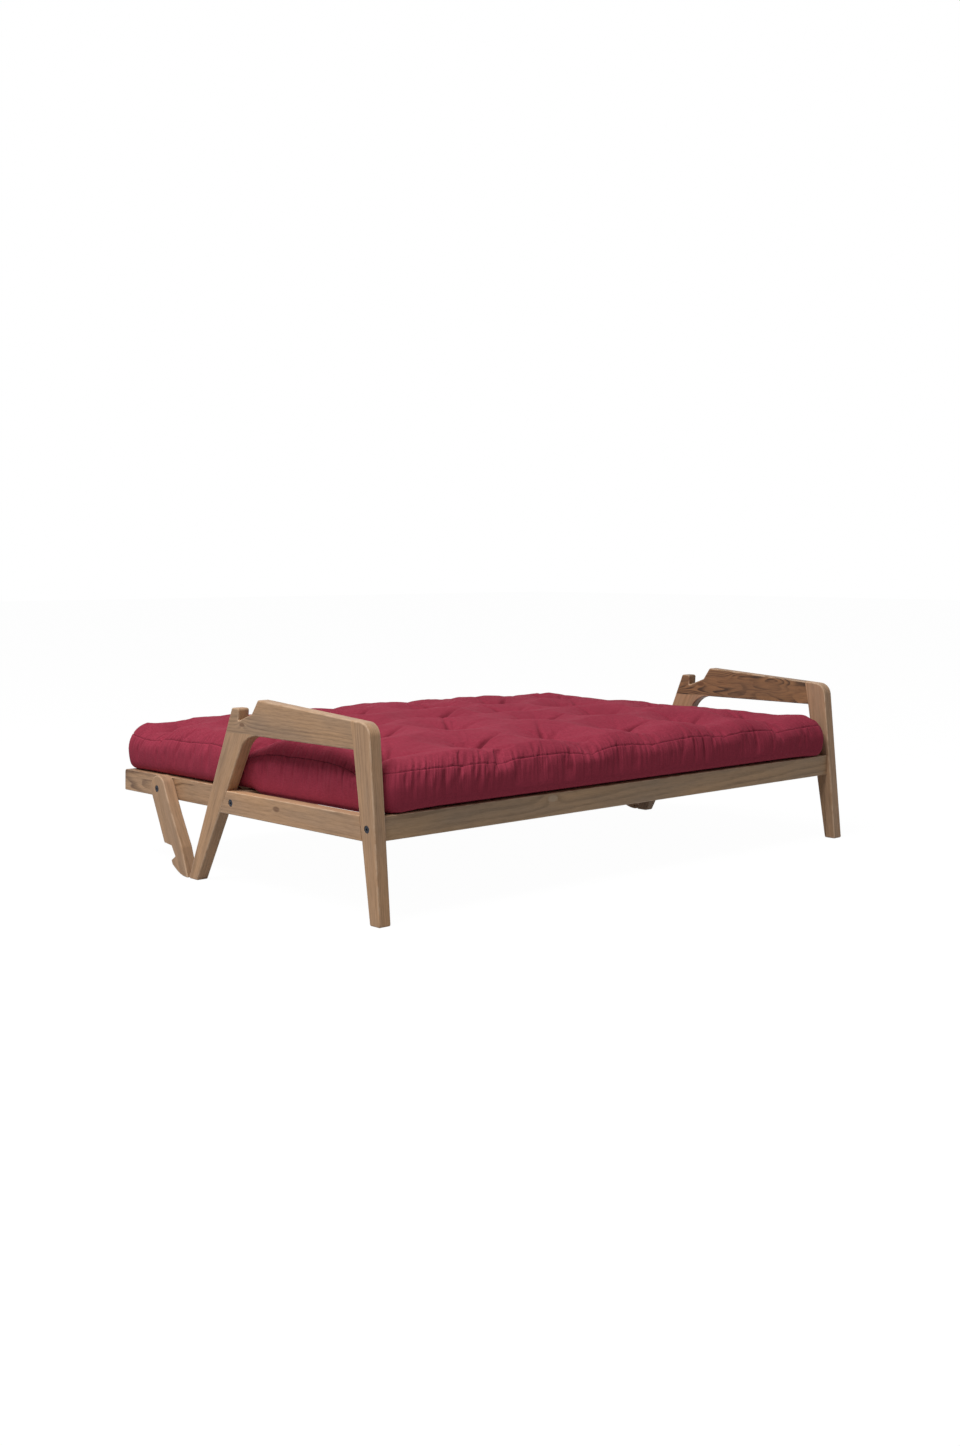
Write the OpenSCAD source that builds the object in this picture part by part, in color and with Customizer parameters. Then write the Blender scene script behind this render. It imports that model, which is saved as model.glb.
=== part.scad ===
// Sofa bed in stained pine with a tufted folding mattress, shown lying flat as a bed.
// Two armrest frames carry the seat. The back frame turns on a pivot in each rear leg,
// and a notched support leg on each side holds it flat as a bed or raised as a sofa.
// The drawing works from the left armrest's outer face (x = 0), the front feet (y = 0)
// and the floor (z = 0), and the whole is then centred over the origin.

/* [Overall] */
// Width over the outer faces of the two armrests
width = 2000; // [1600:10:2300]
// Thickness of the armrest, side rail and support leg boards
board_t = 38; // [32:1:44]
// Height of every horizontal rail
rail_h = 65; // [56:1:76]
// Underside of the rails above the floor
rail_z = 212; // [190:1:230]
// Width of the armrests' front feet
front_foot_w = 41; // [36:1:50]
// Lean of the front leg's front edge, in degrees
front_lean = 4.83; // [3:0.01:6]
// Lean of the front leg's rear edge, in degrees
front_leg_rear_lean = 8.79; // [7.5:0.01:10]
// Rounding of the armrest's front top corner
front_corner_r = 40; // [20:1:44]

/* [Armrest] */
// Height of the arm rail's underside
arm_under_z = 444; // [430:1:450]
// Height of the arm's sloping top line above the front feet
arm_top_z = 513; // [505:1:520]
// Upward slope of the arm's top, in degrees
arm_slope = 3.45; // [2.8:0.05:4]
// Rear end of the sloping arm top
arm_end_y = 538; // [520:1:545]
// Where the groove's steep side turns into its floor
groove_bend = [567, 505];
// Lowest point of the groove, at the foot of the post
groove_foot = [634, 480];
// Front edge of the post's top
post_front_y = 631; // [629:1:633]
// Height of the post's top
post_top_z = 516; // [512:1:518]
// Rear edge of the rear foot
rear_foot_y = 889; // [885:1:891]
// Width of the rear foot
rear_foot_w = 45; // [40:1:50]
// Lean of the rear leg's rear edge, in degrees
rear_lean = 23.46; // [23.2:0.01:23.7]
// Lean of the rear leg's front edge, in degrees
rear_leg_front_lean = 29; // [28.5:0.05:29.5]
// Radius of the fillet between rear leg and arm rail
leg_fillet_r = 85; // [60:1:100]
// Rounding of the feet's corners
foot_r = 5; // [2:0.5:6]
// Rounding of the post's rear and front top corners
post_r = [6, 7];
// Rounding of the groove's foot and of its bend
groove_r = [3, 16];
// Rounding of the arm's rear end
arm_end_r = 8; // [3:0.5:10]

/* [Seat frame] */
// Setback of the front cross rail from the front feet
front_rail_y = 32.4; // [28:0.1:36]
// Thickness of the seat's front and rear cross rails
cross_rail_t = 42; // [38:1:44]
// Centre line of the rear cross rail
rear_rail_y = 671.7; // [660:0.1:674]
// Number of slats under the seat and under the back
slat_count = 8; // [6:1:8]
// Width of a slat
slat_w = 95; // [60:1:110]
// Thickness of a slat
slat_t = 18; // [14:1:22]
// Width and height of the ledger strips that carry the slats
ledger_size = [26, 28];
// Rounding of the rails' long edges
edge_r = 3; // [1:0.5:5]

/* [Back frame] */
// Pivot of the back frame, measured from the front feet
pivot_y = 746.7; // [744:0.1:749]
// Setback of the back frame's rear end under the mattress
back_setback = 18; // [10:1:40]
// Rounding of the side rails' rear ends, below and above
back_end_r = [3, 8];
// Space between an armrest and the back frame's side rail
side_gap = 3; // [2.6:0.1:4]
// Setback of the back frame's front cross rail behind the pivot
back_cross_offset = 36; // [34:1:60]
// Inset of the rear cross rail from the frame's rear end
back_cross_inset = 6; // [0:1:30]
// Raised angle of the back, in degrees
fold_angle = 72; // [70:0.5:72]

/* [Support legs] */
// Bolt of the support leg, measured from the front feet
support_bolt_y = 1065.3; // [1063:0.1:1067]
// Width of the support leg
support_w = 76; // [70:1:80]
// Lean of the support leg, in degrees
support_lean = 28; // [27:0.1:29]
// Distance of the leg's centre line ahead of its bolt
support_offset = 4; // [0:0.5:6]
// Front edge of the support leg's foot
support_foot_y = 895; // [894:0.5:897]
// Centre of the foot's round heel
heel_y = 900; // [896:1:904]
// Radius of the foot's round heel
heel_r = 111.4; // [105:0.1:115]

/* [Hardware] */
// Diameter of the corner bolts
bolt_d = 8; // [6:1:10]
// Diameter of the pivot bolts and support bolts
pivot_d = 10; // [8:1:12]
// Diameter of the round bolt heads
head_d = 19.6; // [17:0.1:22]
// Thickness of the bolt heads
head_t = 5; // [3:0.5:7]
// Depth of the head's top below the wood
head_sink = 1; // [0.5:0.1:2]
// Radial clearance of a head in its recess
head_clear = 0.7; // [0.3:0.1:1.5]
// Radial clearance of a fixed bolt in wood
bolt_clear = 0.25; // [0.1:0.05:0.5]
// Radial clearance of a turning fit
turn_clear = 0.05; // [0.02:0.01:0.09]
// Side play of a turning piece
side_play = 0.1; // [0.05:0.05:0.3]
// Diameter and length of the barrel nuts
barrel_size = [14, 24];
// Distance of a barrel nut from the end of its rail
barrel_inset = 32; // [24:1:45]
// Outer diameter of the washers
washer_d = 28; // [20:1:34]
// Diameter of the threaded inserts in the rear legs
insert_d = 16; // [14:1:20]
// Length of the threaded inserts
insert_l = 24; // [18:1:28]
// Diameter and thickness of the round nuts
nut_size = [20, 8];

/* [Mattress] */
// Space between the mattress and an armrest's inner face
mattress_clear = 9; // [5:1:20]
// Setback of the mattress front from the front feet
mattress_front = 20; // [15:1:30]
// Length of the mattress from front to rear
mattress_depth = 1318; // [1290:1:1400]
// Gap between the mattress and what carries it
mattress_seat_gap = 0.3; // [0.2:0.1:0.5]
// Height of the border seam above the mattress underside
border_h = 112; // [90:1:130]
// Height of the full crown above the underside
crown_h = 176; // [150:1:190]
// How far the sides bulge at mid height
side_bulge = 11; // [4:1:18]
// Rounding of the mattress's upright corners
mattress_corner_r = 45; // [30:1:60]
// Place of the first tuft from the mattress's left side and front
tuft_start = [109, 155];
// Spacing of the tufts along and across the mattress
tuft_pitch = [312, 251];
// Depth of a tuft below the crown
tuft_depth = 42; // [20:1:55]
// Spread of a tuft's hollow
tuft_spread = 62; // [40:1:90]
// Gap between two parts of the mattress at the fold
fold_gap = 0.4; // [0.3:0.1:0.8]

/* [Hidden] */
wood = [0.50, 0.39, 0.29];
wood_dark = [0.42, 0.32, 0.24];
steel_black = [0.06, 0.06, 0.07];
zinc = [0.62, 0.63, 0.64];
cloth = [0.40, 0.13, 0.19];

// Smoothness of true round faces and of rounded outlines
round_fn = 48;
arc_steps = 8;

// Overlap of drawn pieces, and how far a cutter runs past a face
lap = 0.5;
past = 1;

rail_top = rail_z + rail_h;
axis_z = rail_z + rail_h / 2;
back_rail_x = board_t + side_gap;
back_cross_x = back_rail_x + board_t;
front_bolt_y = front_rail_y + cross_rail_t / 2;
rear_rail_front = rear_rail_y - cross_rail_t / 2;
back_cross_y = pivot_y + back_cross_offset;
head_recess = head_sink + head_t;
mattress_rear = mattress_front + mattress_depth;
back_end_y = mattress_rear - back_setback;
back_rear_cross_y = back_end_y - back_cross_inset - board_t;
mattress_x = board_t + mattress_clear;
mattress_w = width - 2 * mattress_x;
mattress_z = rail_top + mattress_seat_gap;
depth = mattress_rear;
fold_half = fold_angle / 2;

// Edges of the armrest's legs at a height z
function front_leg_rear(z) = front_foot_w + z * tan(front_leg_rear_lean);
function rear_edge(z) = rear_foot_y - z * tan(rear_lean);
function rear_leg_front(z) = rear_foot_y - rear_foot_w - z * tan(rear_leg_front_lean);
function arm_top(y) = arm_top_z + y * tan(arm_slope);

// Where the arm's top line meets a leg edge that starts at y0 and leans forward by an angle
function on_arm_top(y0, lean) =
    let(z = (arm_top_z + y0 * tan(arm_slope)) / (1 - tan(lean) * tan(arm_slope)))
    [y0 + z * tan(lean), z];

function unit(v) = v / norm(v);

// One corner of an outline, rounded by an arc of radius r
function corner(a, b, c, r) =
    r == 0 ? [b] :
    let(
        u = unit(a - b), w = unit(c - b),
        half = acos(u * w) / 2,
        centre = b + unit(u + w) * r / sin(half),
        start = b + u * r / tan(half) - centre,
        turn = cross(b - a, c - b) > 0 ? 1 : -1,
        first = atan2(start[1], start[0])
    )
    [for (k = [0:arc_steps])
        let(angle = first + turn * (180 - 2 * half) * k / arc_steps)
        centre + r * [cos(angle), sin(angle)]];

// An outline of [point, radius] pairs with every corner rounded
function rounded(list) =
    let(n = len(list))
    [for (i = [0:n - 1])
        each corner(list[(i + n - 1) % n][0], list[i][0], list[(i + 1) % n][0], list[i][1])];

// A board whose outline lies in the y-z plane
module board(outline, x = 0, t = board_t) {
    translate([x, 0, 0])
        rotate([90, 0, 90])
            linear_extrude(t)
                polygon(outline);
}

// A rod along x, from x0 to x1
module rod(x0, x1, y, z, d) {
    translate([x0, y, z])
        rotate([0, 90, 0])
            cylinder(h = x1 - x0, d = d, $fn = round_fn);
}

// A straight bar with rounded long edges, of size [sx, sy] in section
module bar_section(size, r = edge_r) {
    x = size[0];
    y = size[1];
    translate([r, 0]) square([x - 2 * r, y]);
    translate([0, r]) square([x, y - 2 * r]);
    for (p = [[r, r], [x - r, r], [r, y - r], [x - r, y - r]])
        translate(p) circle(r, $fn = round_fn);
}

// A bar along x
module bar_x(x0, x1, y, z, size) {
    translate([x0, y, z])
        rotate([90, 0, 90])
            linear_extrude(x1 - x0)
                bar_section(size);
}

// A bar along y
module bar_y(x, y0, y1, z, size) {
    translate([x, y1, z])
        rotate([90, 0, 0])
            linear_extrude(y1 - y0)
                bar_section(size);
}

// Puts a piece of the left side in place, or its mirror image on the right
module on_side(side) {
    translate([-width / 2, -depth / 2, 0])
        if (side == "left")
            children();
        else
            translate([width, 0, 0]) mirror([1, 0, 0]) children();
}

module centred() {
    translate([-width / 2, -depth / 2, 0]) children();
}

// Hole and head recess of a bolt that enters a board from outside
module bolt_entry(y, z, d, clear) {
    rod(-past, board_t + past, y, z, d + 2 * clear);
    rod(-past, head_recess, y, z, head_d + 2 * head_clear);
}

// A bolt with a round head, from its head's top at x0 to its tip at x1
module bolt(x0, x1, y, z, d) {
    rod(x0, x0 + head_t, y, z, head_d);
    rod(x0 + head_t - lap, x1, y, z, d);
}

// Armrest
module front_leg(side) {
    outline = rounded([
        [[0, 0], foot_r],
        [[front_foot_w, 0], foot_r],
        [on_arm_top(front_foot_w, front_leg_rear_lean), 0],
        [on_arm_top(0, front_lean), front_corner_r]
    ]);
    color(wood)
        on_side(side)
            difference() {
                board(outline);
                bolt_entry(front_bolt_y, axis_z, bolt_d, bolt_clear);
            }
}

module arm_rail(side) {
    outline = rounded([
        [[front_leg_rear(arm_under_z), arm_under_z], 0],
        [[rear_edge(arm_under_z), arm_under_z], 0],
        [[rear_edge(post_top_z), post_top_z], post_r[0]],
        [[post_front_y, post_top_z], post_r[1]],
        [groove_foot, groove_r[0]],
        [groove_bend, groove_r[1]],
        [[arm_end_y, arm_top(arm_end_y)], arm_end_r],
        [on_arm_top(front_foot_w, front_leg_rear_lean), 0]
    ]);
    color(wood)
        on_side(side)
            board(outline);
}

// Thickness and length of the thin lip in which the fillet ends under the arm rail
fillet_lip = [1, 3];

module rear_leg(side) {
    lip = fillet_lip[0];
    bend = [rear_leg_front(arm_under_z - lip), arm_under_z - lip];
    lip_y = bend[0] - leg_fillet_r * tan(45 - rear_leg_front_lean / 2) - fillet_lip[1];
    outline = rounded([
        [[rear_leg_front(0), 0], foot_r],
        [[rear_foot_y, 0], foot_r],
        [[rear_edge(arm_under_z), arm_under_z], 0],
        [[lip_y, arm_under_z], 0],
        [[lip_y, arm_under_z - lip], 0],
        [bend, leg_fillet_r]
    ]);
    color(wood)
        on_side(side)
            difference() {
                board(outline);
                rod(board_t - insert_l, board_t + past, pivot_y, axis_z, insert_d);
            }
}

module side_rail(side) {
    outline = [
        [front_leg_rear(rail_z), rail_z],
        [rear_leg_front(rail_z), rail_z],
        [rear_leg_front(rail_top), rail_top],
        [front_leg_rear(rail_top), rail_top]
    ];
    color(wood)
        on_side(side)
            difference() {
                intersection() {
                    board(outline);
                    bar_y(0, 0, rear_foot_y, rail_z, [board_t, rail_h]);
                }
                bolt_entry(rear_rail_y, axis_z, bolt_d, bolt_clear);
            }
}

// Seat frame
// How far the bolt's hole runs past the barrel nut's axis, and how far its tip does
bolt_hole_end = 14;
bolt_tip_end = 11;

module bolted_rail_ends(y) {
    for (side = [0, 1])
        translate([side * width, 0, 0])
            mirror([side, 0, 0]) {
                rod(board_t - past, board_t + barrel_inset + bolt_hole_end, y, axis_z, bolt_d + 2 * bolt_clear);
                translate([board_t + barrel_inset, y, rail_z - past])
                    cylinder(h = rail_h / 2 + past + barrel_size[1] / 2, d = barrel_size[0], $fn = round_fn);
            }
}

module front_cross_rail() {
    color(wood)
        centred()
            difference() {
                bar_x(board_t, width - board_t, front_rail_y, rail_z, [cross_rail_t, rail_h]);
                bolted_rail_ends(front_bolt_y);
            }
}

module rear_cross_rail() {
    color(wood)
        centred()
            difference() {
                bar_x(board_t, width - board_t, rear_rail_front, rail_z, [cross_rail_t, rail_h]);
                bolted_rail_ends(rear_rail_y);
            }
}

ledger_z = rail_top - slat_t - ledger_size[1];
// Gap at the ends of slats and ledgers
slat_end_gap = 1;

// A ledger strip whose face at y touches its rail
module ledger(x, y) {
    color(wood_dark)
        centred()
            bar_x(x, width - x, y, ledger_z, ledger_size);
}

module front_ledger() {
    ledger(board_t + slat_end_gap, front_rail_y + cross_rail_t);
}

module rear_ledger() {
    ledger(board_t + slat_end_gap, rear_rail_front - ledger_size[0]);
}

// Slat number i of an even row across the frame between x0 and x1
module slat(i, x0, y0, y1) {
    room = width - 2 * x0;
    gap = (room - slat_count * slat_w) / (slat_count + 1);
    color(wood_dark)
        centred()
            bar_y(x0 + gap + (i - 1) * (gap + slat_w), y0, y1, rail_top - slat_t, [slat_w, slat_t]);
}

module seat_slat(i) {
    slat(i, board_t, front_rail_y + cross_rail_t + slat_end_gap, rear_rail_front - slat_end_gap);
}

// Back frame
// Short flat left on a half-round end
nose_flat = 0.2;

module back_side_rail(side) {
    y0 = pivot_y - rail_h / 2;
    nose_r = rail_h / 2 - nose_flat;
    outline = rounded([
        [[y0, rail_z], nose_r],
        [[back_end_y, rail_z], back_end_r[0]],
        [[back_end_y, rail_top], back_end_r[1]],
        [[y0, rail_top], nose_r]
    ]);
    color(wood)
        on_side(side)
            difference() {
                board(outline, back_rail_x);
                rod(back_rail_x - past, back_cross_x + past, pivot_y, axis_z, pivot_d + 2 * turn_clear);
                rod(back_rail_x - past, back_cross_x + past, support_bolt_y, axis_z,
                    pivot_d + 2 * bolt_clear);
            }
}

module back_front_cross_rail() {
    color(wood_dark)
        centred()
            bar_x(back_cross_x, width - back_cross_x, back_cross_y, rail_z, [board_t, rail_h]);
}

module back_rear_cross_rail() {
    color(wood_dark)
        centred()
            bar_x(back_cross_x, width - back_cross_x, back_rear_cross_y, rail_z, [board_t, rail_h]);
}

module back_front_ledger() {
    ledger(back_cross_x + slat_end_gap, back_cross_y + board_t);
}

module back_rear_ledger() {
    ledger(back_cross_x + slat_end_gap, back_rear_cross_y - ledger_size[0]);
}

module back_slat(i) {
    slat(i, back_cross_x, back_cross_y + board_t + slat_end_gap, back_rear_cross_y - slat_end_gap);
}

// Support leg, with a round heel and a notch that grips the armrest's post.
// The post's corners are turned into the leg's own frame, where the raised back puts them.
support_turn = 235;
notch_clear = 1;

function turned(p, centre, angle) =
    let(d = p - centre)
    centre + [d[0] * cos(angle) - d[1] * sin(angle), d[0] * sin(angle) + d[1] * cos(angle)];

pivot_point = [pivot_y, axis_z];
support_point = [support_bolt_y, axis_z];
raised_point = turned(support_point, pivot_point, fold_angle);
function in_leg_frame(p) =
    turned(p - raised_point + support_point, support_point, -(fold_angle + support_turn));

// A point of the leg: so far behind its bolt across the leg, and so far up along it
function leg_point(across, up) =
    support_point + across * [cos(support_lean), -sin(support_lean)]
        + up * [sin(support_lean), cos(support_lean)];

// The same edge line at a height z
function leg_line(across, z) =
    [support_bolt_y + across / cos(support_lean) + (z - axis_z) * tan(support_lean), z];

// Where the leg's front edge bends forward to the foot, how far it comes, and how round the bend is
knee_z = 174;
shin = [52, 88];
knee_r = 60;
// Reach of the round heel behind its centre, and its number of facets
heel_reach = 76;
heel_steps = 6;
// Reach of the lip that grips the post, and the notch's room behind the post
lip_reach = 24;
notch_room = 2;
// Height of the shoulder above the notch, and the rounding of lip, notch and shoulder
shoulder_h = 7;
notch_r = [1.5, 2, 3];

module support_leg(side) {
    front = -support_w / 2 - support_offset;
    rear = support_w / 2 - support_offset;
    end_r = support_w / 2 - nose_flat;
    post_front = in_leg_frame([post_front_y, post_top_z]);
    post_rear = in_leg_frame([rear_edge(post_top_z), post_top_z]);
    down = unit(in_leg_frame(groove_foot) - post_front);
    across = unit(post_rear - post_front);
    heel = [for (k = [0:heel_steps])
        let(y = heel_reach * k / heel_steps)
        [[heel_y + y, heel_r - sqrt(heel_r * heel_r - y * y)], 0]];
    notch = [
        [post_front - notch_clear * across + lip_reach * down, notch_r[0]],
        [post_front - notch_clear * (across + down), notch_r[1]],
        [post_rear + notch_room * (across - down), notch_r[2]],
        [leg_line(rear, post_rear[1] + shoulder_h), notch_r[2]]
    ];
    outline = rounded(concat(
        [[[support_foot_y, 0], 0]],
        heel,
        notch,
        [
            [leg_point(rear, support_w / 2), end_r],
            [leg_point(front, support_w / 2), end_r],
            [leg_line(front, knee_z), knee_r],
            [leg_line(front, knee_z) - shin, knee_r]
        ]
    ));
    color(wood)
        on_side(side)
            difference() {
                board(outline);
                bolt_entry(support_bolt_y, axis_z, pivot_d, turn_clear);
            }
}

// Bolts, nuts and washers
module corner_bolt(side, y) {
    color(steel_black)
        on_side(side)
            bolt(head_sink, board_t + barrel_inset + bolt_tip_end, y, axis_z, bolt_d);
}

module barrel_nut(side, y) {
    x = board_t + barrel_inset;
    color(zinc)
        on_side(side)
            difference() {
                translate([x, y, axis_z - barrel_size[1] / 2])
                    cylinder(h = barrel_size[1], d = barrel_size[0] - 2 * turn_clear, $fn = round_fn);
                rod(x - barrel_size[0], x + barrel_size[0], y, axis_z, bolt_d + 2 * turn_clear);
            }
}

// Thickness of the insert's closed end, and the room between it and the bolt's tip
insert_floor = 2;
tip_room = 1;

module pivot_bolt(side) {
    tip = board_t - insert_l + insert_floor + tip_room;
    color(zinc)
        on_side(side) {
            rod(tip, back_cross_x + side_play + lap, pivot_y, axis_z, pivot_d);
            rod(back_cross_x + side_play, back_cross_x + side_play + head_t, pivot_y, axis_z, head_d);
        }
}

module pivot_insert(side) {
    color(zinc)
        on_side(side)
            difference() {
                rod(board_t - insert_l, board_t, pivot_y, axis_z, insert_d);
                rod(board_t - insert_l + insert_floor, board_t + past, pivot_y, axis_z,
                    pivot_d + 2 * turn_clear);
            }
}

// A washer in the space between an armrest board and the back frame
module washer(side, y) {
    color(zinc)
        on_side(side)
            difference() {
                rod(board_t + side_play, back_rail_x - side_play, y, axis_z, washer_d);
                rod(board_t - past, back_rail_x + past, y, axis_z, pivot_d + 2 * bolt_clear);
            }
}

// How far the support bolt's tip stands out of its nut
nut_stickout = 2;

module support_bolt(side) {
    color(steel_black)
        on_side(side)
            bolt(head_sink - side_play, back_cross_x + nut_size[1] + nut_stickout, support_bolt_y, axis_z,
                 pivot_d);
}

module support_nut(side) {
    color(zinc)
        on_side(side)
            difference() {
                rod(back_cross_x, back_cross_x + nut_size[1], support_bolt_y, axis_z, nut_size[0]);
                rod(back_cross_x - past, back_cross_x + nut_size[1] + past, support_bolt_y, axis_z,
                    pivot_d + 2 * turn_clear);
            }
}

// Mattress
// Its crown rises from the border seam and is drawn down at staggered tufts. Two planes through
// the pivot divide it into seat, fold and back, so that seat and back close like a mitre.
margin_right = mattress_w - tuft_start[0] - 5 * tuft_pitch[0];
columns = [
    0, mattress_corner_r,
    for (i = [0:30]) tuft_start[0] + i * tuft_pitch[0] / 6,
    for (i = [1:3]) tuft_start[0] + 5 * tuft_pitch[0] + i * (margin_right - mattress_corner_r) / 3,
    mattress_w
];
row_step = tuft_pitch[1] / 5;
top_z = mattress_z + crown_h;
seat_cut = pivot_y - (top_z - axis_z) * tan(fold_half) - mattress_front;
back_cut = pivot_y + (top_z - axis_z) * tan(fold_half) - mattress_front;
rows = [
    0, mattress_corner_r,
    for (i = [0:20]) tuft_start[1] + (i - 1) * row_step,
    mattress_depth - 2 * mattress_corner_r, mattress_depth - mattress_corner_r, mattress_depth
];
seat_rows = [for (r = rows) if (r < seat_cut - 12) r, seat_cut];
fold_rows = [seat_cut, for (r = rows) if (r > seat_cut + 12 && r < back_cut - 12) r, back_cut];
back_rows = [back_cut, for (r = rows) if (r > back_cut + 12) r];

tufts = [
    for (j = [0:4]) for (i = [0:5 - j % 2])
        tuft_start + [(i + (j % 2) / 2) * tuft_pitch[0], j * tuft_pitch[1]]
];

function edge_distance(x, y) = min(x, mattress_w - x, y, mattress_depth - y);

// Height of the padded top above the mattress underside
function crown(x, y) =
    let(
        e = max(edge_distance(x, y), 0),
        shoulder = 1 - exp(-e / 22),
        swell = 1 - pow(1 - min(e, 420) / 420, 2),
        sink = max([for (t = tufts) exp(-pow(norm([x, y] - t) / tuft_spread, 2))])
    )
    border_h + (crown_h - border_h) * (0.5 * shoulder + 0.5 * swell) - tuft_depth * sink * min(1, e / 60);

// A top point at a column and row, with the corner columns pulled in to round the plan
function plan(x, y, inset) =
    let(
        at_x = x == 0 || x == mattress_w,
        at_y = y == 0 || y == mattress_depth,
        pull = at_x && at_y ? mattress_corner_r * (1 - sqrt(0.5)) : 0,
        sx = x == 0 ? 1 : x == mattress_w ? -1 : 0,
        sy = y == 0 ? 1 : y == mattress_depth ? -1 : 0
    )
    [x + sx * (inset + pull), y + sy * (inset + pull)];

// Height fractions of the rings that make the sides
ring_levels = [0, 0.22, 0.5, 0.78];
function ring_inset(t) = side_bulge * pow(2 * t - 1, 2);

// The point of a ring or of the top at a height fraction t. A row on a fold plane slides along that
// plane with its height, and so do all rows of the fold, which fan out from the pivot.
function form_point(x, y, t, fan) =
    let(
        p = plan(x, y, ring_inset(t)),
        z = mattress_z + t * crown(x, y),
        fanned = pivot_y + (y + mattress_front - pivot_y) * (z - axis_z) / (top_z - axis_z),
        inward = (y == seat_cut ? -1 : y == back_cut ? 1 : 0) * (fan ? -1 : 1) * fold_gap / 2
    )
    [
        p[0] + mattress_x,
        fan || y == seat_cut || y == back_cut ? fanned + inward : p[1] + mattress_front,
        z
    ];

// A padded form over the rows ys. Its rows fan out from the pivot where it is the fold.
module cushion(ys, fan = false) {
    nx = len(columns) - 1;
    ny = len(ys) - 1;
    around = concat(
        [for (i = [0:nx - 1]) [i, 0]],
        [for (j = [0:ny - 1]) [nx, j]],
        [for (i = [nx:-1:1]) [i, ny]],
        [for (j = [ny:-1:1]) [0, j]]
    );
    n = len(around);
    rings = len(ring_levels);
    side_points = [for (t = ring_levels) for (a = around) form_point(columns[a[0]], ys[a[1]], t, fan)];
    top_points = [for (j = [0:ny]) for (i = [0:nx]) form_point(columns[i], ys[j], 1, fan)];
    centre = [mattress_x + mattress_w / 2, (side_points[0][1] + side_points[nx + ny][1]) / 2, mattress_z];
    top_start = rings * n;
    function upper(k, a) = k + 1 < rings ? (k + 1) * n + a : top_start + around[a][1] * (nx + 1) + around[a][0];
    faces = concat(
        [for (a = [0:n - 1]) [top_start + len(top_points), a, (a + 1) % n]],
        [for (k = [0:rings - 1]) for (a = [0:n - 1]) [k * n + a, upper(k, a), upper(k, (a + 1) % n)]],
        [for (k = [0:rings - 1]) for (a = [0:n - 1]) [k * n + a, upper(k, (a + 1) % n), k * n + (a + 1) % n]],
        [for (j = [0:ny - 1]) for (i = [0:nx - 1])
            let(p = top_start + j * (nx + 1) + i) [p, p + nx + 1, p + nx + 2]],
        [for (j = [0:ny - 1]) for (i = [0:nx - 1])
            let(p = top_start + j * (nx + 1) + i) [p, p + nx + 2, p + 1]]
    );
    color(cloth)
        centred()
            polyhedron(concat(side_points, top_points, [centre]), faces);
}

module mattress_seat() {
    cushion(seat_rows);
}

module mattress_fold() {
    cushion(fold_rows, true);
}

module mattress_back() {
    cushion(back_rows);
}

front_leg("left");  // front_leg_left
front_leg("right");  // front_leg_right
arm_rail("left");  // arm_rail_left
arm_rail("right");  // arm_rail_right
rear_leg("left");  // rear_leg_left
rear_leg("right");  // rear_leg_right
side_rail("left");  // side_rail_left
side_rail("right");  // side_rail_right
front_cross_rail();
rear_cross_rail();
front_ledger();
rear_ledger();
for (i = [1:8])
    seat_slat(i);
back_side_rail("left");  // back_side_rail_left
back_side_rail("right");  // back_side_rail_right
back_front_cross_rail();
back_rear_cross_rail();
back_front_ledger();
back_rear_ledger();
for (i = [1:8])
    back_slat(i);
support_leg("left");  // support_leg_left
support_leg("right");  // support_leg_right
corner_bolt("left", front_bolt_y);  // front_bolt_left
corner_bolt("right", front_bolt_y);  // front_bolt_right
corner_bolt("left", rear_rail_y);  // rear_bolt_left
corner_bolt("right", rear_rail_y);  // rear_bolt_right
barrel_nut("left", front_bolt_y);  // front_barrel_nut_left
barrel_nut("right", front_bolt_y);  // front_barrel_nut_right
barrel_nut("left", rear_rail_y);  // rear_barrel_nut_left
barrel_nut("right", rear_rail_y);  // rear_barrel_nut_right
pivot_bolt("left");  // pivot_bolt_left
pivot_bolt("right");  // pivot_bolt_right
pivot_insert("left");  // pivot_insert_left
pivot_insert("right");  // pivot_insert_right
washer("left", pivot_y);  // pivot_washer_left
washer("right", pivot_y);  // pivot_washer_right
support_bolt("left");  // support_bolt_left
support_bolt("right");  // support_bolt_right
washer("left", support_bolt_y);  // support_washer_left
washer("right", support_bolt_y);  // support_washer_right
support_nut("left");  // support_nut_left
support_nut("right");  // support_nut_right
mattress_seat();
mattress_fold();
mattress_back();
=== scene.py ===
import math

import bpy
import numpy as np
from mathutils import Euler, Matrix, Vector, noise


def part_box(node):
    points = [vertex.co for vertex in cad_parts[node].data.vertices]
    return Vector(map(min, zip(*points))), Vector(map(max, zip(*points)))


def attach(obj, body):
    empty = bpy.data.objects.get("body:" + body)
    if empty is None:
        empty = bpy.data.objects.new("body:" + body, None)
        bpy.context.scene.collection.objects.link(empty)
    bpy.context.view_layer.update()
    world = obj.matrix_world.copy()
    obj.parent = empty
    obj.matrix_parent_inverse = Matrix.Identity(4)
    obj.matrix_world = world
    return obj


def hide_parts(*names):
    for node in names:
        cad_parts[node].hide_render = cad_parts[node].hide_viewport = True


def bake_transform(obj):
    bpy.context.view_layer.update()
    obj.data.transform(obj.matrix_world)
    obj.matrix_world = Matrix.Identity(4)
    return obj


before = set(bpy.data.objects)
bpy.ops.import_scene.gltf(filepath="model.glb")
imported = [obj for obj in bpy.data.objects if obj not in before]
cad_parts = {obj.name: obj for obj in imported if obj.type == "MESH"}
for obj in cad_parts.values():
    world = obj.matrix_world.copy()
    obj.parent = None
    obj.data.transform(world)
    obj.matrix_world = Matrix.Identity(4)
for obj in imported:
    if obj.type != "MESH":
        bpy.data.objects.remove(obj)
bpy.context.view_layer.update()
bpy.ops.object.select_all(action="DESELECT")


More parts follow.
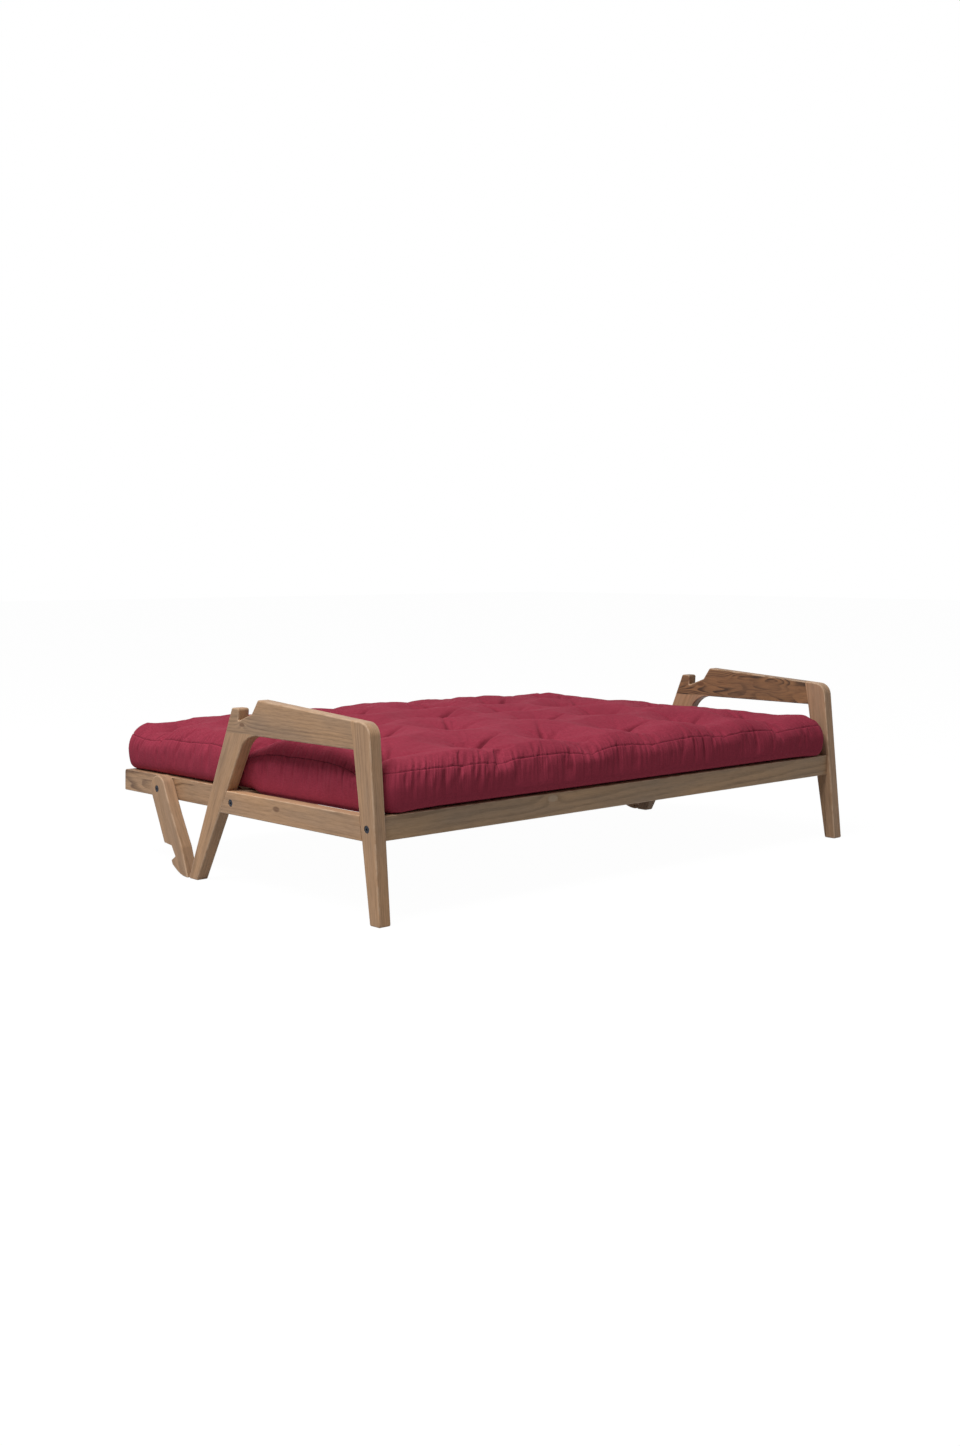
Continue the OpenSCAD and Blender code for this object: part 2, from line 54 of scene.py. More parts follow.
# Armrests. Each is three pine boards glued edge to edge: a tapered front leg, an arm rail with
# an upright post behind its groove, and a raked rear leg whose top is filleted into the rail.
# The edges are rounded over after gluing, so the rounding runs on across the joints.

EDGE_RADIUS = 0.004
GLUE_LINE = 0.0002
FLAT_ANGLE = math.radians(1)
SMOOTH_ANGLE = math.radians(35)


def hold(piece):
    """Makes a piece the only one selected, and the active one."""
    bpy.ops.object.select_all(action="DESELECT")
    piece.select_set(True)
    bpy.context.view_layer.objects.active = piece


def merged_copy(node, name):
    """A copy of a solid whose loose triangles are merged into clean flat faces."""
    piece = bpy.data.objects.new(name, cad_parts[node].data.copy())
    piece.data.materials.clear()
    bpy.context.collection.objects.link(piece)
    hold(piece)
    bpy.ops.mesh.customdata_custom_splitnormals_clear()
    bpy.ops.object.mode_set(mode="EDIT")
    bpy.ops.mesh.select_all(action="SELECT")
    bpy.ops.mesh.remove_doubles(threshold=1e-6)
    bpy.ops.mesh.dissolve_limited(angle_limit=FLAT_ANGLE)
    bpy.ops.object.mode_set(mode="OBJECT")
    return piece


def shift_points(piece, chosen, offset):
    """Moves the points that a test chooses."""
    for point in piece.data.vertices:
        if chosen(point.co):
            point.co += Vector(offset)


def choose_faces(piece, test):
    """Selects the faces that a test chooses, and stays in edit mode."""
    hold(piece)
    bpy.ops.object.mode_set(mode="EDIT")
    bpy.ops.mesh.select_mode(type="FACE")
    bpy.ops.mesh.select_all(action="DESELECT")
    bpy.ops.object.mode_set(mode="OBJECT")
    for face in piece.data.polygons:
        face.select = test(face)
    bpy.ops.object.mode_set(mode="EDIT")


def outer_face(node, wood):
    """The outer face of an armrest board as a flat patch in its own wood."""
    piece = merged_copy(node, node + "_patch")
    outside = max(abs(point.co.x) for point in piece.data.vertices)
    choose_faces(piece, lambda face: abs(face.center.x) < outside - 0.0001)
    bpy.ops.mesh.delete(type="FACE")
    bpy.ops.object.mode_set(mode="OBJECT")
    piece.data.materials.append(wood)
    return piece


def score(piece, point, direction):
    """Scores a patch along a plane, so that it has points where a neighbour's corners meet it."""
    hold(piece)
    bpy.ops.object.mode_set(mode="EDIT")
    bpy.ops.mesh.select_all(action="SELECT")
    bpy.ops.mesh.bisect(plane_co=point, plane_no=direction)
    bpy.ops.object.mode_set(mode="OBJECT")


def glue(patches, thickness):
    """Joins flat patches along their shared edges and gives them their thickness."""
    bpy.ops.object.select_all(action="DESELECT")
    for patch in patches:
        patch.select_set(True)
    whole = patches[0]
    bpy.context.view_layer.objects.active = whole
    bpy.ops.object.join()
    bpy.ops.object.mode_set(mode="EDIT")
    bpy.ops.mesh.select_all(action="SELECT")
    bpy.ops.mesh.remove_doubles(threshold=2e-5)
    bpy.ops.object.mode_set(mode="OBJECT")
    wall = whole.modifiers.new("thickness", "SOLIDIFY")
    wall.thickness = thickness
    wall.offset = -1
    bpy.ops.object.modifier_apply(modifier="thickness")
    return whole


def round_edges(piece, weight):
    """Rounds the sharp edges, each by the share of the radius that weight gives for its middle."""
    hold(piece)
    mesh = piece.data
    edges = [tuple(sorted(pair)) for pair in mesh.edge_keys]
    faces_at = {edge: [] for edge in edges}
    for face in mesh.polygons:
        for key in face.edge_keys:
            faces_at[tuple(sorted(key))].append(face.normal.copy())
    values = []
    for edge in edges:
        normals = faces_at[edge]
        middle = (mesh.vertices[edge[0]].co + mesh.vertices[edge[1]].co) / 2
        sharp = len(normals) == 2 and normals[0].angle(normals[1]) > SMOOTH_ANGLE
        values.append(weight(middle) if sharp else 0.0)
    bevel_weight = mesh.attributes.new("bevel_weight_edge", "FLOAT", "EDGE")
    bevel_weight.data.foreach_set("value", values)
    bevel = piece.modifiers.new("round", "BEVEL")
    bevel.limit_method = "WEIGHT"
    bevel.width = EDGE_RADIUS
    bevel.segments = 3
    bevel.use_clamp_overlap = False
    bpy.ops.object.modifier_apply(modifier="round")


def close_joints(board):
    """Closes the open ends that are left where a board is parted from its neighbours."""
    hold(board)
    bpy.ops.object.mode_set(mode="EDIT")
    bpy.ops.mesh.select_mode(type="VERT")
    bpy.ops.mesh.select_all(action="DESELECT")
    bpy.ops.mesh.select_non_manifold()
    bpy.ops.mesh.fill_holes(sides=0)
    bpy.ops.mesh.select_all(action="SELECT")
    bpy.ops.mesh.normals_make_consistent(inside=False)
    bpy.ops.object.mode_set(mode="OBJECT")


def mark_rubbed(piece, across):
    """Marks the rounded edges, whose faces are turned between flat and upright along one axis, for their
    paler colour of worn stain and painted highlight.
    """
    mesh = piece.data
    worn_highlit_edge = mesh.attributes.new("worn_highlit_edge", "FLOAT", "FACE")
    turned = [1.0 if 0.03 < abs(face.normal[across]) < 0.97 else 0.0 for face in mesh.polygons]
    worn_highlit_edge.data.foreach_set("value", turned)


def finish_board(piece, node, body, across, material):
    """Shades a board, gives it its wood, and puts it in the place of its solid."""
    mark_rubbed(piece, across)
    hold(piece)
    bpy.ops.object.shade_smooth_by_angle(angle=SMOOTH_ANGLE)
    weighted = piece.modifiers.new("flat faces", "WEIGHTED_NORMAL")
    weighted.keep_sharp = True
    bpy.ops.object.modifier_apply(modifier="flat faces")
    piece.data.materials.clear()
    piece.data.materials.append(material)
    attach(piece, body)
    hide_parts(node)


def blank_material(name):
    """A new material, with its node tree and its surface shader."""
    made = bpy.data.materials.new(name)
    made.use_nodes = True
    return made, made.node_tree, made.node_tree.nodes["Principled BSDF"]


def add_node(tree, kind, inputs=None, **settings):
    """Adds a shader node, sets its options, and fills its inputs with values or links."""
    made = tree.nodes.new("ShaderNode" + kind)
    for key, value in settings.items():
        setattr(made, key, value)
    for key, value in (inputs or {}).items():
        if isinstance(value, bpy.types.NodeSocket):
            tree.links.new(value, made.inputs[key])
        else:
            made.inputs[key].default_value = value
    return made


def sum_of(tree, operation, first, second=0.0, third=0.0, clamp=False):
    """One step of arithmetic on values."""
    made = add_node(tree, "Math", {0: first, 1: second, 2: third}, operation=operation, use_clamp=clamp)
    return made.outputs[0]


def vector_of(tree, operation, first, second=(0, 0, 0)):
    """One step of arithmetic on vectors."""
    made = add_node(tree, "VectorMath", {0: first, 1: second}, operation=operation)
    return made.outputs["Value" if operation in ("LENGTH", "DISTANCE") else "Vector"]


def ramp_of(tree, value, low, high, start=0.0, end=1.0):
    """A soft step of a value between low and high."""
    made = add_node(tree, "MapRange", {0: value, 1: low, 2: high, 3: start, 4: end},
                    interpolation_type="SMOOTHSTEP")
    return made.outputs[0]


def blend_of(tree, share, first, second, kind="MIX"):
    """Mixes two colours."""
    made = add_node(tree, "Mix", {0: share, 6: first, 7: second}, data_type="RGBA", blend_type=kind)
    return made.outputs[2]


def noise_of(tree, vector, scale, detail=2.0, rough=0.5, colour=False):
    """Soft noise, stretched by a scale for each direction."""
    stretched = vector_of(tree, "MULTIPLY", vector, scale)
    settings = {"Vector": stretched, "Scale": 1.0, "Detail": detail, "Roughness": rough}
    made = add_node(tree, "TexNoise", settings)
    return made.outputs[1 if colour else 0]


def shared_group(name, inputs, outputs):
    """A shader node group with named inputs and outputs."""
    tree = bpy.data.node_groups.new(name, "ShaderNodeTree")
    for key, kind in inputs:
        tree.interface.new_socket(key, in_out="INPUT", socket_type="NodeSocket" + kind)
    for key, kind in outputs:
        tree.interface.new_socket(key, in_out="OUTPUT", socket_type="NodeSocket" + kind)
    return tree, tree.nodes.new("NodeGroupInput").outputs, tree.nodes.new("NodeGroupOutput").inputs


# Colour of the paler rounded edges: worn stain and a painted highlight
WORN_STAIN_AND_HIGHLIGHT = (0.64, 0.45, 0.30, 1)
NO_KNOT = (90, 9, 9)


def pine_group():
    """Stained pine: rings round a pith, darker late wood, fibres, blotches, a knot, and rounded edges painted
    paler, partly as worn stain and partly as painted highlight.
    """
    tree, given, out = shared_group("stained pine", [
        ("Grain", "Vector"), ("Pith", "Vector"), ("Ring", "Float"), ("Figure", "Float"), ("Flame", "Float"),
        ("Contrast", "Float"), ("Knot", "Vector"), ("Knot Size", "Float"), ("Knot Tint", "Color"),
        ("Pale", "Color"), ("Dark", "Color"), ("Wear And Highlight", "Float")
    ], [("Color", "Color"), ("Roughness", "Float"), ("Height", "Float")])
    grain = given["Grain"]
    # The log bends and wanders along its length
    wander = noise_of(tree, grain, (1.6, 7.0, 7.0), 1.0, colour=True)
    wander = vector_of(tree, "SUBTRACT", wander, (0.5, 0.5, 0.5))
    scaled = add_node(tree, "VectorMath", {0: wander, "Scale": given["Figure"]}, operation="SCALE")
    moved = vector_of(tree, "ADD", vector_of(tree, "SUBTRACT", grain, given["Pith"]), scaled.outputs[0])
    loops = sum_of(tree, "SUBTRACT", noise_of(tree, grain, (4.6, 19.0, 19.0), 1.5, 0.4), 0.5)
    radial = vector_of(tree, "MULTIPLY", moved, (0.02, 1.0, 1.0))
    radius = vector_of(tree, "LENGTH", radial)
    # Fibres flow round the knot
    from_knot = vector_of(tree, "SUBTRACT", grain, given["Knot"])
    from_knot = vector_of(tree, "MULTIPLY", from_knot, (0.5, 0.15, 1.0))
    knot_far = sum_of(tree, "DIVIDE", vector_of(tree, "LENGTH", from_knot), given["Knot Size"])
    swirl = sum_of(tree, "EXPONENT", sum_of(tree, "MULTIPLY", knot_far, -0.8))
    swirl = sum_of(tree, "MULTIPLY", swirl, 0.014)
    ripple = noise_of(tree, grain, (4.0, 45.0, 45.0), 2.0)
    radius = sum_of(tree, "ADD", radius, swirl)
    radius = sum_of(tree, "MULTIPLY_ADD", loops, given["Flame"], radius)
    radius = sum_of(tree, "MULTIPLY_ADD", ripple, 0.004, radius)
    ring = sum_of(tree, "FRACT", sum_of(tree, "DIVIDE", radius, given["Ring"]))
    late = sum_of(tree, "MULTIPLY", ramp_of(tree, ring, 0.25, 0.86), ramp_of(tree, ring, 1.0, 0.88))
    patchy = ramp_of(tree, noise_of(tree, grain, (2.2, 24.0, 24.0), 2.0), 0.40, 0.62, 0.25, 1.0)
    late = sum_of(tree, "MULTIPLY", late, patchy)
    fibre = noise_of(tree, grain, (26.0, 380.0, 380.0), 4.0, 0.7)
    band = noise_of(tree, grain, (3.0, 170.0, 170.0), 2.0)
    blotch = noise_of(tree, grain, (3.0, 16.0, 16.0), 3.0, 0.6)
    # Late wood, fibres and broad bands each darken the board by their share
    fibres = sum_of(tree, "MULTIPLY", ramp_of(tree, fibre, 0.38, 0.72), 0.38)
    bands = sum_of(tree, "MULTIPLY", ramp_of(tree, band, 0.4, 0.75), 0.20)
    share = sum_of(tree, "ADD", sum_of(tree, "MULTIPLY", late, given["Contrast"]), fibres)
    share = sum_of(tree, "ADD", share, bands, clamp=True)
    colour = blend_of(tree, share, given["Pale"], given["Dark"])
    tone = add_node(tree, "ValToRGB", {0: blotch})
    tone.color_ramp.elements[0].position = 0.3
    tone.color_ramp.elements[0].color = (0.80, 0.82, 0.86, 1)
    tone.color_ramp.elements[1].position = 0.7
    tone.color_ramp.elements[1].color = (1.12, 1.06, 0.96, 1)
    colour = blend_of(tree, 1.0, colour, tone.outputs[0], "MULTIPLY")
    core = ramp_of(tree, knot_far, 1.25, 0.7)
    colour = blend_of(tree, sum_of(tree, "MULTIPLY", core, 0.75), colour, given["Knot Tint"])
    # Paler patches along the rounded edges: partly worn stain, partly a painted highlight where the edges
    # catch the light
    edge = add_node(tree, "Attribute", attribute_name="worn_highlit_edge").outputs["Fac"]
    patch = ramp_of(tree, noise_of(tree, grain, (22.0, 60.0, 60.0), 3.0, 0.65), 0.38, 0.6)
    worn_and_highlit = sum_of(tree, "MULTIPLY", sum_of(tree, "MULTIPLY", edge, patch), given["Wear And Highlight"])
    colour = blend_of(tree, worn_and_highlit, colour, WORN_STAIN_AND_HIGHLIGHT)
    rough = sum_of(tree, "MULTIPLY_ADD", fibre, 0.22, 0.42)
    height = sum_of(tree, "MULTIPLY_ADD", fibre, -0.6, sum_of(tree, "MULTIPLY", late, 0.4))
    tree.links.new(colour, out["Color"])
    tree.links.new(rough, out["Roughness"])
    tree.links.new(height, out["Height"])
    return tree


PINE = pine_group()


def pine(name, node, lean, pith=(0.05, 0.06), ring=0.006, figure=0.01, flame=0.0, contrast=0.3,
         knot=None, knot_size=0.008, knot_tint=(0.16, 0.075, 0.035), pale=(0.56, 0.35, 0.21),
         dark=(0.27, 0.155, 0.085), wear_and_highlight=0.6, slide=0.0):
    """A board's wood.

    lean is the grain's angle from upright towards the back in degrees, or "x" or "y" along an axis.
    pith is the heart of the log beside the board, ring the width of a year's growth, flame and figure
    how far the rings wander, and slide the place along the log that the board was cut from.
    """
    if lean == "x":
        turn = Euler((0, 0, 0))
    elif lean == "y":
        turn = Euler((0, 0, math.radians(-90)))
    else:
        turn = Euler((-math.radians(90 - lean), 0, math.radians(-90)))
    low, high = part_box(node)
    place = -(turn.to_matrix() @ ((low + high) / 2))
    place.x += slide
    made, tree, shader = blank_material(name)
    where = add_node(tree, "TexCoord").outputs["Object"]
    grain = add_node(tree, "Mapping", {"Vector": where, "Location": place, "Rotation": turn}).outputs[0]
    knot_place = turn.to_matrix() @ Vector(knot) + place if knot else NO_KNOT
    wood = add_node(tree, "Group", {
        "Grain": grain, "Pith": (0, *pith), "Ring": ring, "Figure": figure, "Flame": flame,
        "Contrast": contrast, "Knot": knot_place, "Knot Size": knot_size, "Knot Tint": (*knot_tint, 1),
        "Pale": (*pale, 1), "Dark": (*dark, 1), "Wear And Highlight": wear_and_highlight}, node_tree=PINE)
    tree.links.new(wood.outputs["Color"], shader.inputs["Base Color"])
    tree.links.new(wood.outputs["Roughness"], shader.inputs["Roughness"])
    bump = add_node(tree, "Bump", {"Height": wood.outputs["Height"], "Strength": 0.6, "Distance": 0.0006})
    tree.links.new(bump.outputs[0], shader.inputs["Normal"])
    shader.inputs["Specular IOR Level"].default_value = 0.35
    return made


SEAT_AXIS_Z = 0.2445
FRONT_BOLT_Y = -0.6156
FRONT_JOINT = Vector((0, -0.628, 0))
FRONT_JOINT_LEAN = math.radians(8.79)
FRONT_JOINT_OUT = Vector((0, math.cos(FRONT_JOINT_LEAN), -math.sin(FRONT_JOINT_LEAN)))
REAR_JOINT_Z = 0.444
LIP = 0.001
ON_JOINT = 0.00005
RECESS_REACH = 0.013
RECESS_ROUNDING = 0.12


def near_bolt(middle, y):
    """Whether an edge belongs to the recess of a bolt at y, on the seat's axis."""
    return math.hypot(middle.y - y, middle.z - SEAT_AXIS_Z) < RECESS_REACH


def from_front_joint(place):
    """How far a place lies behind the leaning joint between the front leg and the arm rail."""
    return (place - FRONT_JOINT).dot(FRONT_JOINT_OUT)


for side in ("left", "right"):
    near = side == "left"
    leg_wood = pine("front leg pine " + side, "front_leg_" + side, 6.8, (0.09, 0.05), 0.006, 0.008,
                    contrast=0.32, slide=1.3 if near else 7.1)
    # The left rail has straight grain; the right one is cut near the pith and shows a dark flame
    if near:
        rail_wood = pine("arm rail pine left", "arm_rail_left", "y", (0.11, 0.04), 0.0055, 0.010, 0.004,
                         contrast=0.42, slide=2.9, knot=(-1.0, -0.0553, 0.471), knot_size=0.006,
                         pale=(0.51, 0.325, 0.20), dark=(0.20, 0.125, 0.075))
    else:
        rail_wood = pine("arm rail pine right", "arm_rail_right", "y", (0.12, 0.004), 0.0058, 0.008, 0.060,
                         contrast=1.0, slide=4.4, knot=(0.962, -0.09, 0.487),
                         pale=(0.36, 0.20, 0.10), dark=(0.075, 0.048, 0.032))
    rear_wood = pine("rear leg pine " + side, "rear_leg_" + side, -26.2, (0.10, -0.06), 0.0060, 0.008,
                     contrast=0.32, slide=5.6 if near else 3.3)
    woods = {"front_leg": leg_wood, "arm_rail": rail_wood, "rear_leg": rear_wood}
    front, rail, rear = [outer_face(part + "_" + side, wood) for part, wood in woods.items()]
    lip_y = min(point.co.y for point in rear.data.vertices if point.co.z > REAR_JOINT_Z - ON_JOINT)
    shift_points(rear, lambda co: abs(co.y - lip_y) < ON_JOINT and co.z < REAR_JOINT_Z - ON_JOINT,
                 (0, 0, LIP))
    score(front, (0, 0, REAR_JOINT_Z), (0, 0, 1))
    score(rail, (0, lip_y, 0), (0, 1, 0))
    low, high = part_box("front_leg_" + side)
    armrest = glue([front, rail, rear], high.x - low.x)
    round_edges(armrest, lambda middle: RECESS_ROUNDING if near_bolt(middle, FRONT_BOLT_Y) else 1.0)
    hold(armrest)
    bpy.ops.object.mode_set(mode="EDIT")
    bpy.ops.mesh.separate(type="MATERIAL")
    bpy.ops.object.mode_set(mode="OBJECT")
    # The glued armrest is parted into its boards again, with a fine line at each joint
    boards = {piece.data.materials[0].name: piece for piece in bpy.context.selected_objects}
    for part, wood in woods.items():
        board = boards[wood.name]
        board.name = part + "_board_" + side
        if part != "rear_leg":
            back = -GLUE_LINE if part == "front_leg" else GLUE_LINE
            shift_points(board, lambda co: (abs(from_front_joint(co)) < ON_JOINT
                                            and co.z > REAR_JOINT_Z - ON_JOINT), (0, back, 0))
        if part != "front_leg":
            up = -GLUE_LINE if part == "rear_leg" else GLUE_LINE
            shift_points(board, lambda co: (abs(co.z - REAR_JOINT_Z) < ON_JOINT
                                            and co.y > lip_y - ON_JOINT), (0, 0, up))
        close_joints(board)
        finish_board(board, part + "_" + side, "seat_frame", 0, wood)


# Seat rails. Pine bars of one section run between the armrest legs: a side rail glued between
# the legs on each side, and a front and a rear cross rail bolted between the armrests.

REAR_BOLT_Y = 0.0027


def side_rail_edge(middle):
    """The side rails stay sharp where they meet the legs, and are eased round the bolt's recess."""
    return 0.15 if near_bolt(middle, REAR_BOLT_Y) else 0.0


for side, slide, knot in (("left", 0.4, (-1.0, -0.220, 0.252)), ("right", 8.2, None)):
    rail = merged_copy("side_rail_" + side, "side_rail_bar_" + side)
    round_edges(rail, side_rail_edge)
    wood = pine("side rail pine " + side, "side_rail_" + side, "y", (0.07, 0.03), 0.006, 0.015, 0.003,
                knot=knot, knot_size=0.0075, slide=slide)
    finish_board(rail, "side_rail_" + side, "seat_frame", 2, wood)

for node, slide, knot in (("front_cross_rail", 6.3, (-0.345, -0.62, 0.262)),
                          ("rear_cross_rail", 9.4, None)):
    rail = merged_copy(node, node + "_bar")
    round_edges(rail, lambda middle: 0.5)
    wood = pine(node.replace("_", " ") + " pine", node, "x", (0.10, 0.05), 0.006, 0.012, 0.003, contrast=0.45,
                knot=knot, knot_size=0.010, knot_tint=(0.56, 0.42, 0.29), pale=(0.49, 0.33, 0.205),
                dark=(0.21, 0.135, 0.08), wear_and_highlight=0.9, slide=slide)
    finish_board(rail, node, "seat_frame", 2, wood)


# Slats and ledgers. Plain unstained pine slats lie on ledger strips that are glued to the
# cross rails, under the seat and under the back, hidden by the mattress.

RAW_PALE = (0.62, 0.47, 0.29)
RAW_DARK = (0.42, 0.27, 0.13)
SLATS = 8
for frame_name, body in (("seat", "seat_frame"), ("back", "back_frame")):
    for i in range(1, SLATS + 1):
        node = frame_name + "_slat_" + str(i)
        slat = merged_copy(node, node + "_board")
        wood = pine(node.replace("_", " ") + " pine", node, "y", (0.02 * (i % 3) - 0.01, 0.05), 0.006, 0.02,
                    contrast=0.6, pale=RAW_PALE, dark=RAW_DARK, wear_and_highlight=0.1, slide=1.7 * i)
        finish_board(slat, node, body, 2, wood)
for node, body in (("front_ledger", "seat_frame"), ("rear_ledger", "seat_frame"),
                   ("back_front_ledger", "back_frame"), ("back_rear_ledger", "back_frame")):
    strip = merged_copy(node, node + "_strip")
    wood = pine(node.replace("_", " ") + " pine", node, "x", (0.03, 0.02), 0.005, 0.01, contrast=0.5,
                pale=RAW_PALE, dark=RAW_DARK, wear_and_highlight=0.1, slide=len(node))
    finish_board(strip, node, body, 2, wood)


# Back frame. Two side rails with a half-round end at the pivot and two cross rails between
# them, all in the same stained pine.

PIVOT_Y = 0.0777
SUPPORT_BOLT_Y = 0.3963


def back_rail_edge(middle):
    """The back frame's side rails stay sharp round both bores."""
    return 0.0 if near_bolt(middle, PIVOT_Y) or near_bolt(middle, SUPPORT_BOLT_Y) else 0.6


for side, slide in (("left", 10.5), ("right", 12.7)):
    rail = merged_copy("back_side_rail_" + side, "back_side_rail_bar_" + side)
    round_edges(rail, back_rail_edge)
    wood = pine("back side rail pine " + side, "back_side_rail_" + side, "y", (0.04, 0.006), 0.0045,
                0.02, 0.016, contrast=0.75, slide=slide, dark=(0.16, 0.085, 0.045))
    finish_board(rail, "back_side_rail_" + side, "back_frame", 0, wood)
for node, slide in (("back_front_cross_rail", 14.1), ("back_rear_cross_rail", 15.8)):
    rail = merged_copy(node, node + "_bar")
    wood = pine(node.replace("_", " ") + " pine", node, "x", (0.10, 0.05), 0.0065, 0.012, slide=slide)
    finish_board(rail, node, "back_frame", 2, wood)


# Support legs. A notched board on each side turns on a bolt through the back frame's side
# rail; its round heel stands on the floor, and its notch grips the armrest's post.

NOTCH_BOX = (0.285, 0.358, 0.022, 0.095)


def support_edge(middle):
    """The notch stays sharp, and the bolt's recess is only eased."""
    if near_bolt(middle, SUPPORT_BOLT_Y):
        return RECESS_ROUNDING
    y0, y1, z0, z1 = NOTCH_BOX
    return 0.0 if y0 < middle.y < y1 and z0 < middle.z < z1 else 0.9


for side, slide in (("left", 17.2), ("right", 19.9)):
    leg = merged_copy("support_leg_" + side, "support_leg_board_" + side)
    round_edges(leg, support_edge)
    wood = pine("support leg pine " + side, "support_leg_" + side, 28.0, (0.10, 0.05), 0.0065, 0.01,
                contrast=0.32, slide=slide)
    finish_board(leg, "support_leg_" + side, "support_" + side, 0, wood)


# Bolts. Black round heads with a hexagon socket sit recessed in the wood, and the nuts,
# washers, inserts and hidden pivot bolts are zinc plated.

HEAD_CHAMFER = 0.0012
HEAD_DISH = 0.0004
SOCKET_INSET = 0.0045
SOCKET_ACROSS = 0.006
SOCKET_DEPTH = 0.0025


def metal(name, colour, rough, spread):
    """Plated or blackened steel with faint wear."""
    made, tree, shader = blank_material(name)
    where = add_node(tree, "TexCoord").outputs["Object"]
    mottle = noise_of(tree, where, (700, 700, 700), 3.0, 0.6)
    tint = blend_of(tree, ramp_of(tree, mottle, 0.35, 0.75), (*colour, 1),
                    (*[min(1.0, c * spread) for c in colour], 1))
    tree.links.new(tint, shader.inputs["Base Color"])
    tree.links.new(sum_of(tree, "MULTIPLY_ADD", mottle, 0.3, rough), shader.inputs["Roughness"])
    bump = add_node(tree, "Bump", {"Height": mottle, "Strength": 0.2, "Distance": 0.0002})
    tree.links.new(bump.outputs[0], shader.inputs["Normal"])
    shader.inputs["Metallic"].default_value = 1.0
    return made


black_steel = metal("black bolt steel", (0.030, 0.033, 0.042), 0.32, 2.2)
zinc_steel = metal("zinc plated steel", (0.55, 0.56, 0.58), 0.28, 1.25)

bolt_bodies = {"front_bolt": "seat_frame", "rear_bolt": "seat_frame", "support_bolt": "back_frame"}
for kind, body in bolt_bodies.items():
    for side, outward in (("left", -1), ("right", 1)):
        node = kind + "_" + side
        bolt = merged_copy(node, node + "_socket_head")
        low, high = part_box(node)
        top_x = low.x if outward < 0 else high.x
        centre = Vector((top_x, (low.y + high.y) / 2, (low.z + high.z) / 2))
        choose_faces(bolt, lambda face: abs(face.center.x - top_x) < 1e-5)
        bpy.ops.mesh.inset(thickness=HEAD_CHAMFER, depth=HEAD_DISH)
        bpy.ops.mesh.inset(thickness=SOCKET_INSET)
        bpy.ops.object.mode_set(mode="OBJECT")
        # The inner ring is drawn into a hexagon before it is sunk
        for index in {v for face in bolt.data.polygons if face.select for v in face.vertices}:
            point = bolt.data.vertices[index]
            angle = math.atan2(point.co.z - centre.z, point.co.y - centre.y)
            off_flat = (angle % math.radians(60)) - math.radians(30)
            reach = SOCKET_ACROSS / 2 / math.cos(off_flat)
            point.co.y = centre.y + reach * math.cos(angle)
            point.co.z = centre.z + reach * math.sin(angle)
        bpy.ops.object.mode_set(mode="EDIT")
        bpy.ops.mesh.extrude_region_move(
            TRANSFORM_OT_translate={"value": (-outward * SOCKET_DEPTH, 0, 0)})
        bpy.ops.object.mode_set(mode="OBJECT")
        bpy.ops.object.shade_smooth_by_angle(angle=SMOOTH_ANGLE)
        bolt.data.materials.append(black_steel)
        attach(bolt, body)
        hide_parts(node)

for name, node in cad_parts.items():
    if any(word in name for word in ("barrel_nut", "pivot_", "washer", "support_nut")):
        node.data.materials.clear()
        node.data.materials.append(zinc_steel)


# Mattress. A thick cotton-filled futon in wine-red cotton: top and bottom panels sewn to a
# gathered border, drawn down by staggered tufts. It lies loose on the slats, laid out flat across
# the pivot where the futon folds.

MATTRESS_LOW, seat_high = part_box("mattress_seat")
MATTRESS_HIGH = Vector((seat_high.x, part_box("mattress_back")[1].y, 0))
UNDER_Z = MATTRESS_LOW.z
WIDE = MATTRESS_HIGH.x - MATTRESS_LOW.x
LONG = MATTRESS_HIGH.y - MATTRESS_LOW.y
CORNER_R = 0.045
CORNER_RUN = 0.036
# Heights above the underside: the widest line of the border, its seam, and the top's crown
WIDEST_H = 0.055
SEAM_H = 0.112
CROWN_H = 0.169
SHOULDER_REACH, SWELL_REACH = 0.022, 0.42
# The border rolls in over the seam, and tucks in below its widest line
ROLL_REACH = 0.0755
SEAM_TURN, RIM_TURN = 36, 75
PANEL_INSET = ROLL_REACH * (1 - math.cos(math.radians(RIM_TURN)))
UNDER_TUCK = 0.027
SEAM_DRAW = 0.0022
GATHER_DEEP = 0.0023
BELLY_OUT = 0.003
SEAM_WAVE = 0.0016
# The underside lifts at its edge, and sags a little between and behind the seat's side rails
EDGE_LIFT = 0.0055
LIFT_REACH = 0.030
HANG_FROM, HANG_TO = -0.590, -0.022
HANG_DEEP = 0.009
EDGE_SAG = 0.006
BACK_SAG_TO = 0.595
FOLD_LIFT = 0.018
FOLD_REACH = 0.075
# The right side has settled lower, and the rear left corner stands fuller
SETTLED, SETTLED_WIDE, SETTLED_LONG, SETTLED_Y = 0.024, 0.30, 0.68, 0.66
FULLER, FULLER_REACH = 0.006, 0.2
WAVE_H, RIPPLE_H = 0.0065, 0.0012
# Each tuft draws down a wide hollow with a narrow dimple in it
TUFT_ROWS = (0.155, 0.405, 0.657, 0.908, 1.160)
TUFT_COLUMNS = ((0.109, 0.419, 0.729, 1.043, 1.353, 1.648), (0.264, 0.589, 0.938, 1.230, 1.546))
HOLLOW_DEEP, HOLLOW_WIDE = 0.034, 0.096
DIMPLE_DEEP, DIMPLE_WIDE = 0.020, 0.024
# Each crease out of a tuft: its direction in degrees, its length, its depth, and how fast it widens
CREASE_WIDE = 0.0050
# How much of a crease's depth turns into painted shade in its valley
CREASE_SHADE = 0.32
CREASES = ((20, 0.110, 0.0190, 0.030), (66, 0.115, 0.0120, 0.008), (92, 0.050, 0.005, 0.02),
           (158, 0.070, 0.008, 0.030), (-35, 0.050, 0.005, 0.03), (-118, 0.050, 0.005, 0.03))


